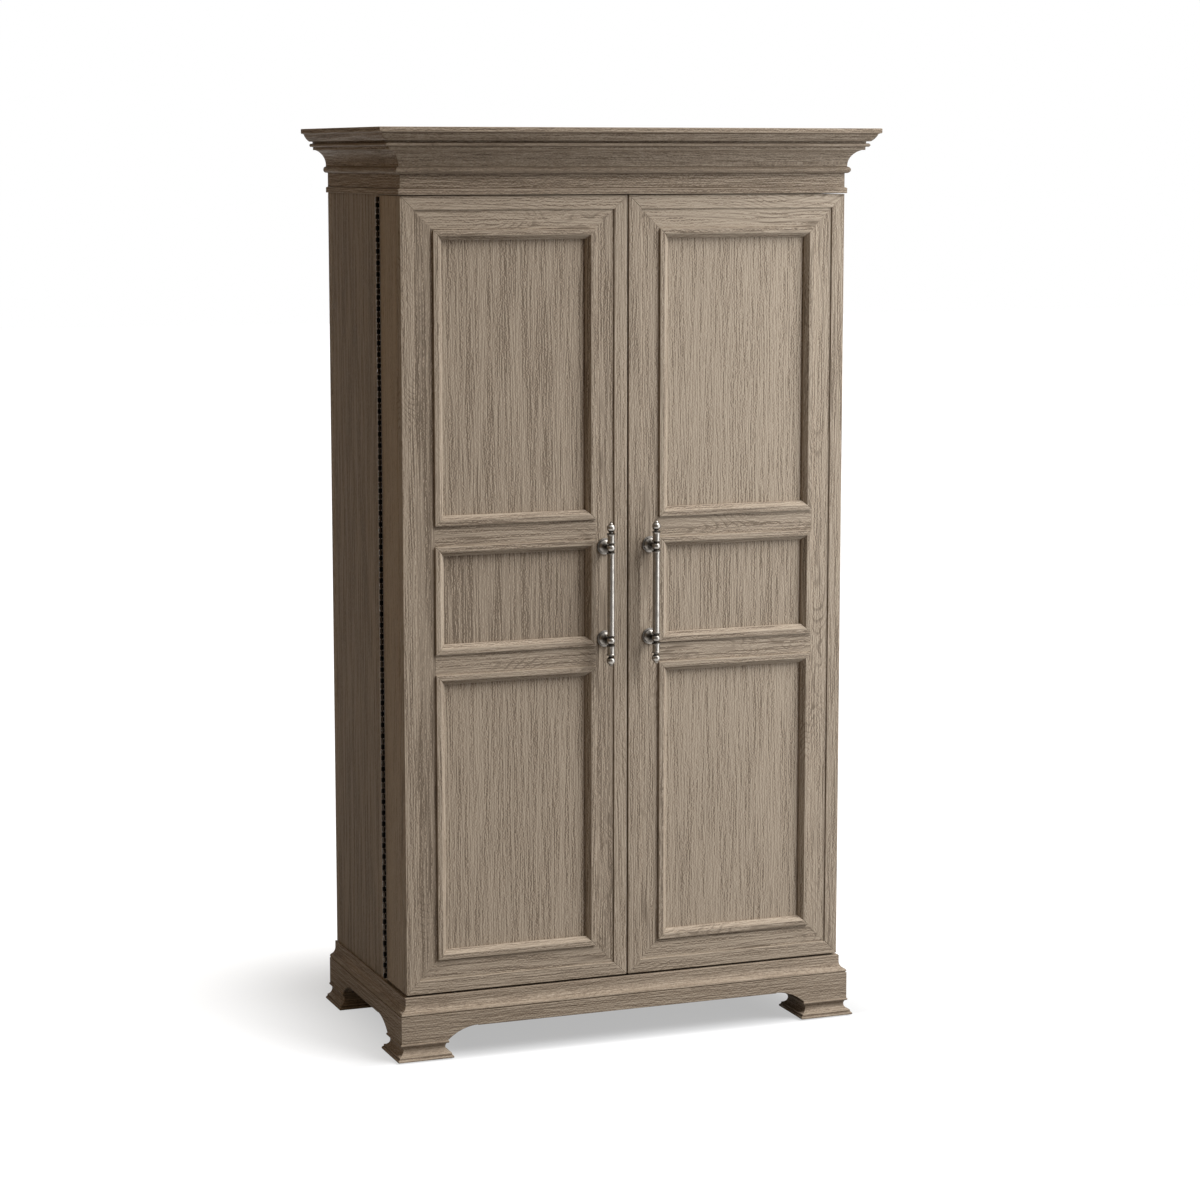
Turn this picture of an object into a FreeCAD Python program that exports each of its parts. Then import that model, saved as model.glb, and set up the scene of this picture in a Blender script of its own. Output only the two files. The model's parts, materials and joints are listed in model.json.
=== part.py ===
import FreeCAD, Part
import os
import Sketcher

# Two-door bar cabinet: a moulded crown, two deep box doors on continuous hinges, a case with
# shelves behind them, and a moulded base on four bracket feet.
# Millimetres. X runs to the right, Y to the back and Z up. The origin is on the floor, at the
# middle of the overall width and depth.
# Left-hand pieces are modelled; right-hand ones are their mirror images.

SIZES = {
    # Overall, taken at the crown
    "overall_width": 1193.8,
    "overall_depth": 622.3,
    "overall_height": 2082.8,
    "crown_overhang": 63.5,
    # Hairline left open along every mitre, measured along the mouldings
    "mitre_gap": 0.2,
    # Layers from the floor up
    "base_height": 144.0,
    "door_bottom_gap": 5.0,
    "door_top_gap": 1.6,
    "door_centre_gap": 4.0,
    "crown_height": 146.4,
    # Crown moulding: projections from the body's faces and drops below the top
    "fascia_height": 10.5,
    "ovolo_top_projection": 56.9,
    "ovolo_top_drop": 12.5,
    "ovolo_low_projection": 43.9,
    "ovolo_low_drop": 29.3,
    "ovolo_swell": 1.8,
    "crown_quirk_projection": 36.0,
    "crown_bead_projection": 40.0,
    "crown_bead_top_drop": 33.7,
    "crown_bead_low_drop": 41.4,
    "crown_bead_swell": 3.5,
    "fillet_projection": 35.0,
    "fillet_low_drop": 48.6,
    "cove_top_projection": 29.6,
    "cove_low_projection": 4.4,
    "cove_low_drop": 84.7,
    "cove_hollow": 7.4,
    "crown_moulding_height": 85.9,
    # Frieze below the crown moulding
    "frieze_bead_projection": 4.0,
    "frieze_bead_height": 14.9,
    "frieze_bead_swell": 6.8,
    "frieze_fillet_projection": 4.8,
    "frieze_fillet_height": 12.2,
    "frieze_fillet_slope": 1.5,
    "frieze_board": 20.0,
    # Boards that close the crown
    "crown_panel": 18.0,
    "crown_top_recess": 6.0,
    # Base: cap moulding, rails and feet
    "cap_height": 40.0,
    "cap_fillet_projection": 4.8,
    "cap_fillet_height": 15.5,
    "cap_cove_projection": 14.0,
    "cap_cove_height": 15.5,
    "cap_cove_hollow": 2.6,
    "cap_nose_height": 6.0,
    "cap_nose_swell": 1.2,
    "cap_quirk": 2.0,
    "cap_width": 60.0,
    "plinth_projection": 19.0,
    "plinth_board": 22.0,
    "foot_height": 42.0,
    "foot_length": 110.0,
    "bracket_length": 72.0,
    "bracket_rise": 29.5,
    "bracket_hollow": 7.0,
    "bracket_nick": 1.5,
    "foot_bead_height": 6.0,
    "foot_bead_swell": 2.3,
    "foot_quirk": 2.0,
    "foot_waist_hollow": 7.0,
    "foot_waist_height": 14.0,
    "foot_step_height": 10.0,
    "foot_step_projection": 7.0,
    "foot_edge_height": 7.0,
    "foot_edge_projection": 11.0,
    "corner_block": 58.0,
    "glide_radius": 20.0,
    "glide_height": 3.0,
    "deck_board": 18.0,
    # Doors: deep boxes behind a framed face
    "door_depth": 150.9,
    "door_face_depth": 32.0,
    "band_width": 31.0,
    "band_proud": 3.0,
    "panel_margin": 75.0,
    "cross_rail": 46.5,
    "middle_opening": 242.0,
    "panel_recess": 10.0,
    "mould_width": 22.0,
    "mould_flat": 12.0,
    "mould_rise": 5.0,
    "box_wall": 18.0,
    "box_groove": 2.5,
    "door_shelves": 3,
    "door_shelf_board": 15.0,
    "door_shelf_setback": 3.0,
    "bottle_rail_radius": 5.0,
    "bottle_rail_rise": 65.0,
    "bottle_rail_setback": 10.0,
    # Handles
    "handle_standoff": 39.0,
    "handle_post_spacing": 211.0,
    "handle_bar_radius": 8.1,
    "handle_joint_length": 15.0,
    "handle_joint_swell": 1.4,
    "handle_ring_radius": 9.6,
    "handle_ring_width": 3.4,
    "handle_groove_radius": 6.2,
    "handle_groove_width": 3.0,
    "handle_collar_radius": 10.0,
    "handle_collar_width": 4.0,
    "handle_collar_reach": 29.0,
    "handle_neck_radius": 4.8,
    "handle_neck_length": 4.1,
    "handle_ball_radius": 9.8,
    "handle_spire_length": 15.5,
    "handle_nub_length": 14.0,
    "handle_tip_radius": 5.0,
    "handle_tip_band": 1.2,
    "handle_post_radius": 5.5,
    "handle_seat_gap": 0.1,
    "rosette_radius": 18.7,
    "rosette_foot": 3.5,
    "rosette_step_radius": 14.5,
    "rosette_step": 3.0,
    "rosette_cone": 8.0,
    # Continuous hinges
    "hinge_gap": 3.0,
    "leaf_thickness": 1.2,
    "leaf_width": 16.0,
    "knuckle_radius": 4.0,
    "knuckle_side_gap": 0.3,
    "knuckle_end_gap": 0.3,
    "knuckle_pairs": 10,
    "hinge_end_margin": 3.0,
    "hinge_pin_radius": 1.6,
    "hinge_running_gap": 0.05,
    # Case and its fittings
    "case_board": 22.0,
    "front_edging": 37.0,
    "back_edging": 25.0,
    "back_board": 8.0,
    "back_inset": 4.0,
    "counter_top_height": 902.0,
    "counter_setback": 6.0,
    "divider_setback": 14.0,
    "shelf_board": 20.0,
    "shelf_end_gap": 1.5,
    "shelf_setback": 14.0,
    "upper_shelves": 2,
    "pin_radius": 3.0,
    "pin_length": 10.0,
    "pin_inset": 45.0,
    "stem_rails": 8,
    "stem_web_width": 12.0,
    "stem_web_height": 16.0,
    "stem_flange_width": 46.0,
    "stem_flange_height": 9.0,
    "stem_rail_setback": 30.0,
    "stem_rail_back_gap": 42.9,
    # Magnetic catches
    "catch_offset": 6.0,
    "catch_width": 46.0,
    "catch_depth": 22.0,
    "catch_height": 14.0,
    "catch_reach": 2.5,
    "strike_thickness": 1.5,
    "strike_flange": 16.0,
}

PLACES = {
    # Faces of the body under the crown
    "body_half": "Size.overall_width / 2 - Size.crown_overhang",
    "back": "Size.overall_depth / 2",
    "front": "-Size.overall_depth / 2 + Size.crown_overhang",
    "top": "Size.overall_height",
    # Door box, the left one, and the case behind it
    "door_back": "front + Size.door_depth",
    "case_front": "door_back + Size.hinge_gap",
    "door_bottom": "Size.base_height + Size.door_bottom_gap",
    "crown_bottom": "top - Size.crown_height",
    "door_top": "crown_bottom - Size.door_top_gap",
    "door_outer": "-body_half",
    "door_inner": "-Size.door_centre_gap / 2",
    "face_front": "front + Size.band_proud",
    "face_back": "front + Size.door_face_depth",
    "panel_front": "face_front + Size.panel_recess",
    # Openings of the door face, from the bottom up; the outer two are alike
    "opening_left": "door_outer + Size.panel_margin",
    "opening_right": "door_inner - Size.panel_margin",
    "tall_opening": "(door_top - door_bottom - 2 * Size.panel_margin - 2 * Size.cross_rail"
                    " - Size.middle_opening) / 2",
    "low_sill": "door_bottom + Size.panel_margin",
    "low_head": "low_sill + tall_opening",
    "middle_sill": "low_head + Size.cross_rail",
    "middle_head": "middle_sill + Size.middle_opening",
    "high_sill": "middle_head + Size.cross_rail",
    "high_head": "high_sill + tall_opening",
    # Inside of the door box
    "box_left": "door_outer + Size.box_wall",
    "box_right": "door_inner - Size.box_wall",
    "box_floor": "door_bottom + Size.box_wall",
    "box_ceiling": "door_top - Size.box_wall",
    # Handle, centred on the meeting stile and on the door's height
    "handle_x": "door_inner - (Size.panel_margin + Size.band_width) / 2",
    "handle_y": "face_front - Size.handle_standoff",
    "handle_z": "(door_bottom + door_top) / 2",
    # Hinge line of the left door
    "pin_x": "-body_half - Size.knuckle_side_gap - Size.knuckle_radius",
    "pin_y": "door_back + Size.hinge_gap / 2",
    "hinge_bottom": "door_bottom + Size.hinge_end_margin",
    "knuckle_pitch": "(door_top - door_bottom - 2 * Size.hinge_end_margin)"
                     " / (2 * Size.knuckle_pairs + 1)",
    # Inside of the case
    "case_inner": "body_half - Size.case_board",
    "case_floor": "Size.base_height + Size.case_board",
    "case_ceiling": "crown_bottom - Size.case_board",
    "case_back": "back - Size.back_inset - Size.back_board",
    "counter_low": "Size.counter_top_height - Size.case_board",
    "stem_rail_low": "case_ceiling - Size.stem_web_height - Size.stem_flange_height",
    # Base
    "cap_low": "Size.base_height - Size.cap_height",
    "deck_low": "Size.base_height - Size.deck_board",
    "apron": "Size.foot_height + Size.bracket_rise - Size.bracket_nick",
    "plinth_half": "body_half + Size.plinth_projection",
    "plinth_front": "front - Size.plinth_projection",
    "foot_x": "-plinth_half + Size.foot_length / 2",
    "front_foot_y": "plinth_front + Size.foot_length / 2",
    "rear_foot_y": "back - Size.foot_length / 2",
}

# Room that a cutting outline has beyond the piece that it cuts
CUT_MARGIN = 2.0
# The other way along an axis
OTHER_WAY = {"+": "-", "-": "+"}

doc = FreeCAD.newDocument("BarCabinet")
nodes = []


def fill_sheet(name, rows):
    """Spreadsheet with one named value to a row."""
    sheet = doc.addObject("Spreadsheet::Sheet", name)
    for number, (alias, content) in enumerate(rows.items(), start=1):
        sheet.set(f"A{number}", alias)
        sheet.set(f"B{number}", content)
        sheet.setAlias(f"B{number}", alias)
    return sheet


size_sheet = fill_sheet("Size", {alias: str(number) for alias, number in SIZES.items()})
place_sheet = fill_sheet("Place", {alias: f"={formula}" for alias, formula in PLACES.items()})
doc.recompute()


def value(expression):
    """Number that a sheet expression gives now."""
    return float(size_sheet.evalExpression(expression))


def count(expression):
    """Whole number that a sheet expression gives now."""
    return int(round(value(expression)))


def keep(piece):
    """Mark a piece as a sub-part with a file of its own."""
    nodes.append(piece)
    return piece


def seat(piece, x=None, y=None, z=None):
    """Bind a piece's place to the sheets."""
    for axis, expression in (("x", x), ("y", y), ("z", z)):
        if expression is not None:
            piece.setExpression(f"Placement.Base.{axis}", expression)
    return piece


def board(name, x, y, z):
    """Board between a low and a high plane on each axis."""
    box = doc.addObject("Part::Box", name)
    for side, (low, high) in (("Length", x), ("Width", y), ("Height", z)):
        box.setExpression(side, f"({high}) - ({low})")
    return seat(box, x[0], y[0], z[0])


def rod(name, radius, length, direction, x, y, z):
    """Round rod that starts at a point and runs along a direction."""
    cylinder = doc.addObject("Part::Cylinder", name)
    cylinder.setExpression("Radius", radius)
    cylinder.setExpression("Height", length)
    cylinder.Placement.Rotation = FreeCAD.Rotation(FreeCAD.Vector(0, 0, 1), direction)
    return seat(cylinder, x, y, z)


def group(name, members):
    """Like pieces that share one sub-part, each a solid of its own."""
    compound = doc.addObject("Part::Compound", name)
    compound.Links = members
    return compound


def mirrored(name, source):
    """Right-hand twin of a left-hand piece."""
    twin = doc.addObject("Part::Mirroring", name)
    twin.Source = source
    twin.Base = FreeCAD.Vector(0, 0, 0)
    twin.Normal = FreeCAD.Vector(1, 0, 0)
    return twin


def both_hands(piece, right_name):
    """Keep a left-hand piece and its twin."""
    keep(piece)
    keep(mirrored(right_name, piece))
    return piece


def new_body(name):
    """Empty body for sketched features."""
    return doc.addObject("PartDesign::Body", name)


def origin_feature(body, role):
    """One of the planes or axes that a body comes with."""
    return next(item for item in body.Origin.OriginFeatures if item.Role == role)


def new_sketch(body, name, plane, offset=None):
    """Sketch on one of the body's own planes, moved along its normal."""
    sketch = body.newObject("Sketcher::SketchObject", name)
    sketch.AttachmentSupport = [(origin_feature(body, plane), "")]
    sketch.MapMode = "FlatFace"
    if offset is not None:
        sketch.setExpression("AttachmentOffset.Base.z", offset)
    return sketch


def bind_point(sketch, geometry, end, u, v):
    """Fix a point of a sketch at two sheet expressions."""
    for kind, expression in (("DistanceX", u), ("DistanceY", v)):
        constraint = Sketcher.Constraint(kind, -1, 1, geometry, end, value(expression))
        index = sketch.addConstraint(constraint)
        sketch.setExpression(f"Constraints[{index}]", expression)


def end_at(sketch, geometry, point):
    """Which end of a line or arc lies at a point."""
    first = sketch.getPoint(geometry, 1)
    second = sketch.getPoint(geometry, 2)
    return 1 if first.distanceToPoint(point) < second.distanceToPoint(point) else 2


def draw(sketch, corners):
    """Closed outline. A corner with a third entry starts an arc through that point."""
    points = [FreeCAD.Vector(value(corner[0]), value(corner[1]), 0) for corner in corners]
    edges = []
    for number, corner in enumerate(corners):
        start = points[number]
        finish = points[(number + 1) % len(points)]
        if len(corner) == 2:
            edges.append(sketch.addGeometry(Part.LineSegment(start, finish), False))
            continue
        through = FreeCAD.Vector(value(corner[2][0]), value(corner[2][1]), 0)
        edge = sketch.addGeometry(Part.Arc(start, through, finish), False)
        marker = sketch.addGeometry(Part.Point(through), True)
        sketch.addConstraint(Sketcher.Constraint("PointOnObject", marker, 1, edge))
        bind_point(sketch, marker, 1, *corner[2])
        edges.append(edge)
    for number, corner in enumerate(corners):
        here = edges[number]
        before = edges[number - 1]
        end_here = end_at(sketch, here, points[number])
        end_before = end_at(sketch, before, points[number])
        sketch.addConstraint(Sketcher.Constraint("Coincident", before, end_before, here, end_here))
        bind_point(sketch, here, end_here, corner[0], corner[1])


def draw_circle(sketch, u, v, radius):
    """Circle with its centre and radius bound to the sheets."""
    centre = FreeCAD.Vector(value(u), value(v), 0)
    circle = sketch.addGeometry(Part.Circle(centre, FreeCAD.Vector(0, 0, 1), value(radius)), False)
    bind_point(sketch, circle, 3, u, v)
    index = sketch.addConstraint(Sketcher.Constraint("Radius", circle, value(radius)))
    sketch.setExpression(f"Constraints[{index}]", radius)


def pad(body, name, plane, corners, length, offset=None):
    """Solid pushed out from an outline along its plane's normal."""
    sketch = new_sketch(body, f"{name}_outline", plane, offset)
    draw(sketch, corners)
    solid = body.newObject("PartDesign::Pad", name)
    solid.Profile = sketch
    solid.setExpression("Length", length)
    return solid


def cut_through(body, name, sketch):
    """Cut a sketch's outline right through the body, both ways."""
    doc.recompute()
    before = body.Shape.Volume
    pocket = body.newObject("PartDesign::Pocket", name)
    pocket.Profile = sketch
    pocket.SideType = "Symmetric"
    pocket.Type = "ThroughAll"
    doc.recompute()
    if body.Shape.Volume >= before:
        raise ValueError(f"{name} cuts nothing")
    return pocket


def prism(name, plane, corners, length, offset=None):
    """Body with one outline pushed out to a length."""
    body = new_body(name)
    pad(body, f"{name}_pad", plane, corners, length, offset)
    return body


def mitre(body, name, plane, end, inwards, edge, deeper, depth, upright=False):
    """Cut an end of a run at 45 degrees, longest at its outer edge and half a hairline short there.

    The run lies along the plane's first axis, or along its second if it is upright. Inwards is
    the way from this end to the run's middle, and deeper the way from its outer edge to its inner.
    """
    start = f"{end} {inwards} Size.mitre_gap / 2"
    beyond = f"{start} {OTHER_WAY[inwards]} {CUT_MARGIN}"
    far = f"({depth} + {CUT_MARGIN})"
    corners = [
        (beyond, f"{edge} {OTHER_WAY[deeper]} {CUT_MARGIN}"),
        (beyond, f"{edge} {deeper} {far}"),
        (f"{start} {inwards} {far}", f"{edge} {deeper} {far}"),
    ]
    if upright:
        corners = [(across, along) for along, across in corners]
    sketch = new_sketch(body, f"{name}_outline", plane)
    draw(sketch, corners)
    cut_through(body, name, sketch)


def between(first, second, swell):
    """Point beside the middle of two corners, by a swell to the left of the way between them."""
    run = f"(({second[0]}) - ({first[0]}))"
    rise = f"(({second[1]}) - ({first[1]}))"
    span = f"sqrt({run} ^ 2 + {rise} ^ 2)"
    across = f"(({first[0]}) + ({second[0]})) / 2 - {rise} / {span} * ({swell})"
    along = f"(({first[1]}) + ({second[1]})) / 2 + {run} / {span} * ({swell})"
    return across, along


def with_arcs(steps):
    """Corners from (projection, height, swell) steps; a swell bends the way to the next step."""
    corners = []
    for number, step in enumerate(steps):
        if len(step) == 2:
            corners.append(step)
            continue
        following = steps[(number + 1) % len(steps)]
        corners.append((step[0], step[1], between(step, following, step[2])))
    return corners


def from_face(steps, face):
    """Turn projections from the front or left face into places on the axis square to it."""
    return [(f"{face} - ({step[0]})", *step[1:]) for step in steps]


def moulding_front(name, steps, corner_projection, depth):
    """Front moulding with its profile along X, mitred at both ends."""
    half = f"(Place.body_half + {corner_projection})"
    edge = f"(Place.front - {corner_projection})"
    body = new_body(name)
    profile = with_arcs(from_face(steps, "Place.front"))
    pad(body, f"{name}_pad", "YZ_Plane", profile, f"2 * {half}", f"-{half}")
    mitre(body, f"{name}_left_mitre", "XY_Plane", f"-{half}", "+", edge, "+", depth)
    mitre(body, f"{name}_right_mitre", "XY_Plane", half, "-", edge, "+", depth)
    return body


def moulding_side(name, steps, corner_projection, depth):
    """Left moulding with its profile along Y, mitred at the front and square at the back."""
    half = f"(Place.body_half + {corner_projection})"
    edge = f"(Place.front - {corner_projection})"
    body = new_body(name)
    profile = with_arcs(from_face(steps, "-Place.body_half"))
    pad(body, f"{name}_pad", "XZ_Plane", profile, f"Place.back - {edge}", "-Place.back")
    mitre(body, f"{name}_mitre", "XY_Plane", edge, "+", f"-{half}", "+", depth, upright=True)
    return body


def below_top(drop):
    """Height at a drop below the cabinet's top."""
    return f"Place.top - ({drop})"


def make_crown():
    """Crown moulding, frieze and the boards that close them."""
    inner = "-Size.frieze_board"
    crown_low = below_top("Size.crown_moulding_height")
    crown = [
        (inner, "Place.top"),
        (inner, crown_low),
        ("Size.cove_low_projection", crown_low),
        ("Size.cove_low_projection", below_top("Size.cove_low_drop"), "-Size.cove_hollow"),
        ("Size.cove_top_projection", below_top("Size.fillet_low_drop")),
        ("Size.fillet_projection", below_top("Size.fillet_low_drop")),
        ("Size.fillet_projection", below_top("Size.crown_bead_low_drop")),
        ("Size.crown_bead_projection", below_top("Size.crown_bead_low_drop"), "Size.crown_bead_swell"),
        ("Size.crown_bead_projection", below_top("Size.crown_bead_top_drop")),
        ("Size.crown_quirk_projection", below_top("Size.crown_bead_top_drop")),
        ("Size.crown_quirk_projection", below_top("Size.ovolo_low_drop")),
        ("Size.ovolo_low_projection", below_top("Size.ovolo_low_drop"), "Size.ovolo_swell"),
        ("Size.ovolo_top_projection", below_top("Size.ovolo_top_drop")),
        ("Size.crown_overhang", below_top("Size.fascia_height")),
        ("Size.crown_overhang", "Place.top"),
    ]
    frieze_low = "Place.crown_bottom"
    bead_low = f"{crown_low} - Size.frieze_bead_height"
    fillet_top = f"{frieze_low} + Size.frieze_fillet_height"
    frieze = [
        (inner, crown_low),
        (inner, frieze_low),
        ("Size.frieze_fillet_projection", frieze_low),
        ("Size.frieze_fillet_projection", fillet_top),
        ("0", f"{fillet_top} + Size.frieze_fillet_slope"),
        ("0", bead_low),
        ("Size.frieze_bead_projection", bead_low, "Size.frieze_bead_swell"),
        ("Size.frieze_bead_projection", crown_low),
    ]
    for part, steps, reach in (
        ("crown_moulding", crown, "Size.crown_overhang"),
        ("frieze", frieze, "(Size.frieze_bead_projection + Size.frieze_bead_swell)"),
    ):
        depth = f"({reach} + Size.frieze_board)"
        keep(moulding_front(f"{part}_front", steps, reach, depth))
        both_hands(moulding_side(f"{part}_left", steps, reach, depth), f"{part}_right")
    inner_half = "(Place.body_half - Size.frieze_board)"
    inner_front = "Place.front + Size.frieze_board"
    inside = (f"-{inner_half}", inner_half)
    soffit_top = "Place.crown_bottom + Size.crown_panel"
    panel_top = "Place.top - Size.crown_top_recess"
    panel_low = f"{panel_top} - Size.crown_panel"
    keep(board("crown_soffit", inside, (inner_front, "Place.back"), ("Place.crown_bottom", soffit_top)))
    keep(board("crown_top_panel", inside, (inner_front, "Place.back"), (panel_low, panel_top)))
    back_front = "Place.back - Size.crown_panel"
    keep(board("crown_back_board", inside, (back_front, "Place.back"), (soffit_top, panel_low)))


def make_base():
    """Cap moulding, bracketed rails, foot blocks, glides and the boards between them."""
    inner = "Size.plinth_projection - Size.cap_width"
    cap_low = "Place.cap_low"
    fillet_low = "Size.base_height - Size.cap_fillet_height"
    cove_low = f"{fillet_low} - Size.cap_cove_height"
    nose_low = f"{cove_low} - Size.cap_nose_height"
    quirk = "Size.plinth_projection - Size.cap_quirk"
    cap = [
        (inner, "Size.base_height"),
        (inner, cap_low),
        (quirk, cap_low),
        (quirk, nose_low),
        ("Size.plinth_projection", nose_low, "Size.cap_nose_swell"),
        ("Size.cap_cove_projection", cove_low, "-Size.cap_cove_hollow"),
        ("Size.cap_fillet_projection", fillet_low),
        ("Size.cap_fillet_projection", "Size.base_height"),
    ]
    cap_left = moulding_side("base_cap_left", cap, "Size.plinth_projection", "Size.cap_width")
    keep(group("base_cap", [
        moulding_front("base_cap_front", cap, "Size.plinth_projection", "Size.cap_width"),
        cap_left,
        mirrored("base_cap_right", cap_left),
    ]))
    cap_inner_half = "(Place.plinth_half - Size.cap_width)"
    cap_inner_front = "Place.plinth_front + Size.cap_width"
    keep(board("base_deck", (f"-{cap_inner_half}", cap_inner_half), (cap_inner_front, "Place.back"),
               ("Place.deck_low", "Size.base_height")))
    make_base_rails()
    make_feet()


def bracket(foot_end, direction):
    """Two corners of a bracket: from the end of a foot, up a hollow curve to the apron."""
    start = (foot_end, "Size.foot_height")
    finish = (f"{foot_end} {direction} Size.bracket_length", "Place.apron + Size.bracket_nick")
    return start, finish


def rail_outline(low_end, high_end):
    """Rail seen square on: two feet, a bracket at each, and a straight apron between them."""
    low_start, low_finish = bracket(f"{low_end} + Size.foot_length", "+")
    high_start, high_finish = bracket(f"{high_end} - Size.foot_length", "-")
    return [
        (low_end, "Place.cap_low"),
        (low_end, "Size.foot_height"),
        (*low_start, between(low_start, low_finish, "Size.bracket_hollow")),
        low_finish,
        (low_finish[0], "Place.apron"),
        (high_finish[0], "Place.apron"),
        (*high_finish, between(high_finish, high_start, "Size.bracket_hollow")),
        high_start,
        (high_end, "Size.foot_height"),
        (high_end, "Place.cap_low"),
    ]


def make_base_rails():
    """Front and side rails, mitred at the front corners, and a back rail up to the deck."""
    half = "Place.plinth_half"
    edge = "Place.plinth_front"
    depth = "Size.plinth_board"
    front = new_body("base_front_rail")
    inside = f"-({edge} + {depth})"
    pad(front, "base_front_rail_pad", "XZ_Plane", rail_outline(f"-{half}", half), depth, inside)
    mitre(front, "base_front_rail_left_mitre", "XY_Plane", f"-{half}", "+", edge, "+", depth)
    mitre(front, "base_front_rail_right_mitre", "XY_Plane", half, "-", edge, "+", depth)
    keep(front)
    left = new_body("base_left_rail")
    pad(left, "base_left_rail_pad", "YZ_Plane", rail_outline(edge, "Place.back"), depth, f"-{half}")
    mitre(left, "base_left_rail_mitre", "XY_Plane", edge, "+", f"-{half}", "+", depth, upright=True)
    both_hands(left, "base_right_rail")
    wide = f"({half} - {depth})"
    narrow = f"({half} - Size.cap_width)"
    corners = [
        (f"-{wide}", "Place.apron"),
        (wide, "Place.apron"),
        (wide, "Place.cap_low"),
        (narrow, "Place.cap_low"),
        (narrow, "Place.deck_low"),
        (f"-{narrow}", "Place.deck_low"),
        (f"-{narrow}", "Place.cap_low"),
        (f"-{wide}", "Place.cap_low"),
    ]
    keep(prism("base_back_rail", "XZ_Plane", corners, depth, "-Place.back"))


def foot_side(centre, direction):
    """Moulded side of a foot block, from its underside up, on one side of a centre line."""
    def out(projection):
        return f"({centre}) {direction} (Size.foot_length / 2 + {projection})"

    bead_low = "Size.foot_height - Size.foot_bead_height"
    waist = f"{direction} Size.foot_waist_hollow"
    bead = f"{OTHER_WAY[direction]} Size.foot_bead_swell"
    return [
        (out("Size.foot_edge_projection"), "Size.glide_height"),
        (out("Size.foot_edge_projection"), "Size.foot_edge_height"),
        (out("Size.foot_step_projection"), "Size.foot_step_height"),
        (out("Size.foot_step_projection"), "Size.foot_waist_height", waist),
        (out("-Size.foot_quirk"), bead_low),
        (out("0"), bead_low, bead),
        (out("0"), "Size.foot_height"),
    ]


def foot_outline(centre, plain_end=None):
    """Foot block seen square on; its high end is moulded, or plain against the back."""
    low_side = foot_side(centre, "-")
    if plain_end is None:
        high_side = foot_side(centre, "+")
    else:
        high_side = [(plain_end, "Size.glide_height"), (plain_end, "Size.foot_height")]
    up = with_arcs_upwards(high_side)
    down = with_arcs_upwards(low_side)
    return up + reverse_corners(down)


def with_arcs_upwards(steps):
    """Corners of an open run of steps; the last step has no arc."""
    corners = []
    for step, following in zip(steps, steps[1:]):
        if len(step) == 2:
            corners.append(step)
        else:
            corners.append((step[0], step[1], between(step, following, step[2])))
    return corners + [steps[-1][:2]]


def reverse_corners(corners):
    """The same run of corners walked the other way, arcs included."""
    walked = []
    for number in range(len(corners) - 1, -1, -1):
        corner = corners[number][:2]
        arc = corners[number - 1][2:] if number > 0 else ()
        walked.append((*corner, *arc))
    return walked


def foot_block(name, y_centre, plain_end=None):
    """Square block with the same moulding round its sides: two outlines crossed."""
    across = prism(f"{name}_across", "XZ_Plane", foot_outline("Place.foot_x"),
                   "2 * Size.foot_length", f"-({y_centre} + Size.foot_length)")
    along = prism(f"{name}_along", "YZ_Plane", foot_outline(y_centre, plain_end),
                  "2 * Size.foot_length", "Place.foot_x - Size.foot_length")
    block = doc.addObject("Part::MultiCommon", name)
    block.Shapes = [across, along]
    return block


def make_feet():
    """Foot blocks, the glue blocks above them and the glides below."""
    feet = []
    blocks = []
    glides = []
    for end, y_centre, plain_end in (
        ("front", "Place.front_foot_y", None),
        ("rear", "Place.rear_foot_y", "Place.back"),
    ):
        left_foot = foot_block(f"{end}_left_foot", y_centre, plain_end)
        feet += [left_foot, mirrored(f"{end}_right_foot", left_foot)]
        glide = rod(f"{end}_left_glide", "Size.glide_radius", "Size.glide_height",
                    FreeCAD.Vector(0, 0, 1), "Place.foot_x", y_centre, "0")
        glides += [glide, mirrored(f"{end}_right_glide", glide)]
    block_x = "-Place.plinth_half + Size.plinth_board"
    front_y = "Place.plinth_front + Size.plinth_board"
    rear_y = "Place.back - Size.plinth_board"
    for end, low, high in (
        ("front", front_y, f"{front_y} + Size.corner_block"),
        ("rear", f"{rear_y} - Size.corner_block", rear_y),
    ):
        block = board(f"{end}_left_corner_block", (block_x, f"{block_x} + Size.corner_block"), (low, high),
                      ("Size.foot_height", "Place.cap_low"))
        blocks += [block, mirrored(f"{end}_right_corner_block", block)]
    keep(group("foot_blocks", feet))
    keep(group("corner_blocks", blocks))
    keep(group("floor_glides", glides))


def make_case():
    """Sides with edging strips, top, bottom and back."""
    side_x = ("-Place.body_half", "-Place.case_inner")
    high = ("Size.base_height", "Place.crown_bottom")
    edging_back = "Place.case_front + Size.front_edging"
    edging_front = "Place.back - Size.back_edging"
    both_hands(board("case_left_side", side_x, (edging_back, edging_front), high), "case_right_side")
    front_strip = board("left_front_edging", side_x, ("Place.case_front", edging_back), high)
    back_strip = board("left_back_edging", side_x, (edging_front, "Place.back"), high)
    keep(group("case_edging", [
        front_strip,
        back_strip,
        mirrored("right_front_edging", front_strip),
        mirrored("right_back_edging", back_strip),
    ]))
    inside = ("-Place.case_inner", "Place.case_inner")
    deep = ("Place.case_front", "Place.case_back")
    keep(board("case_top", inside, deep, ("Place.case_ceiling", "Place.crown_bottom")))
    keep(board("case_bottom", inside, deep, ("Size.base_height", "Place.case_floor")))
    keep(board("case_back_panel", inside, ("Place.case_back", "Place.case_back + Size.back_board"), high))


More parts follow.
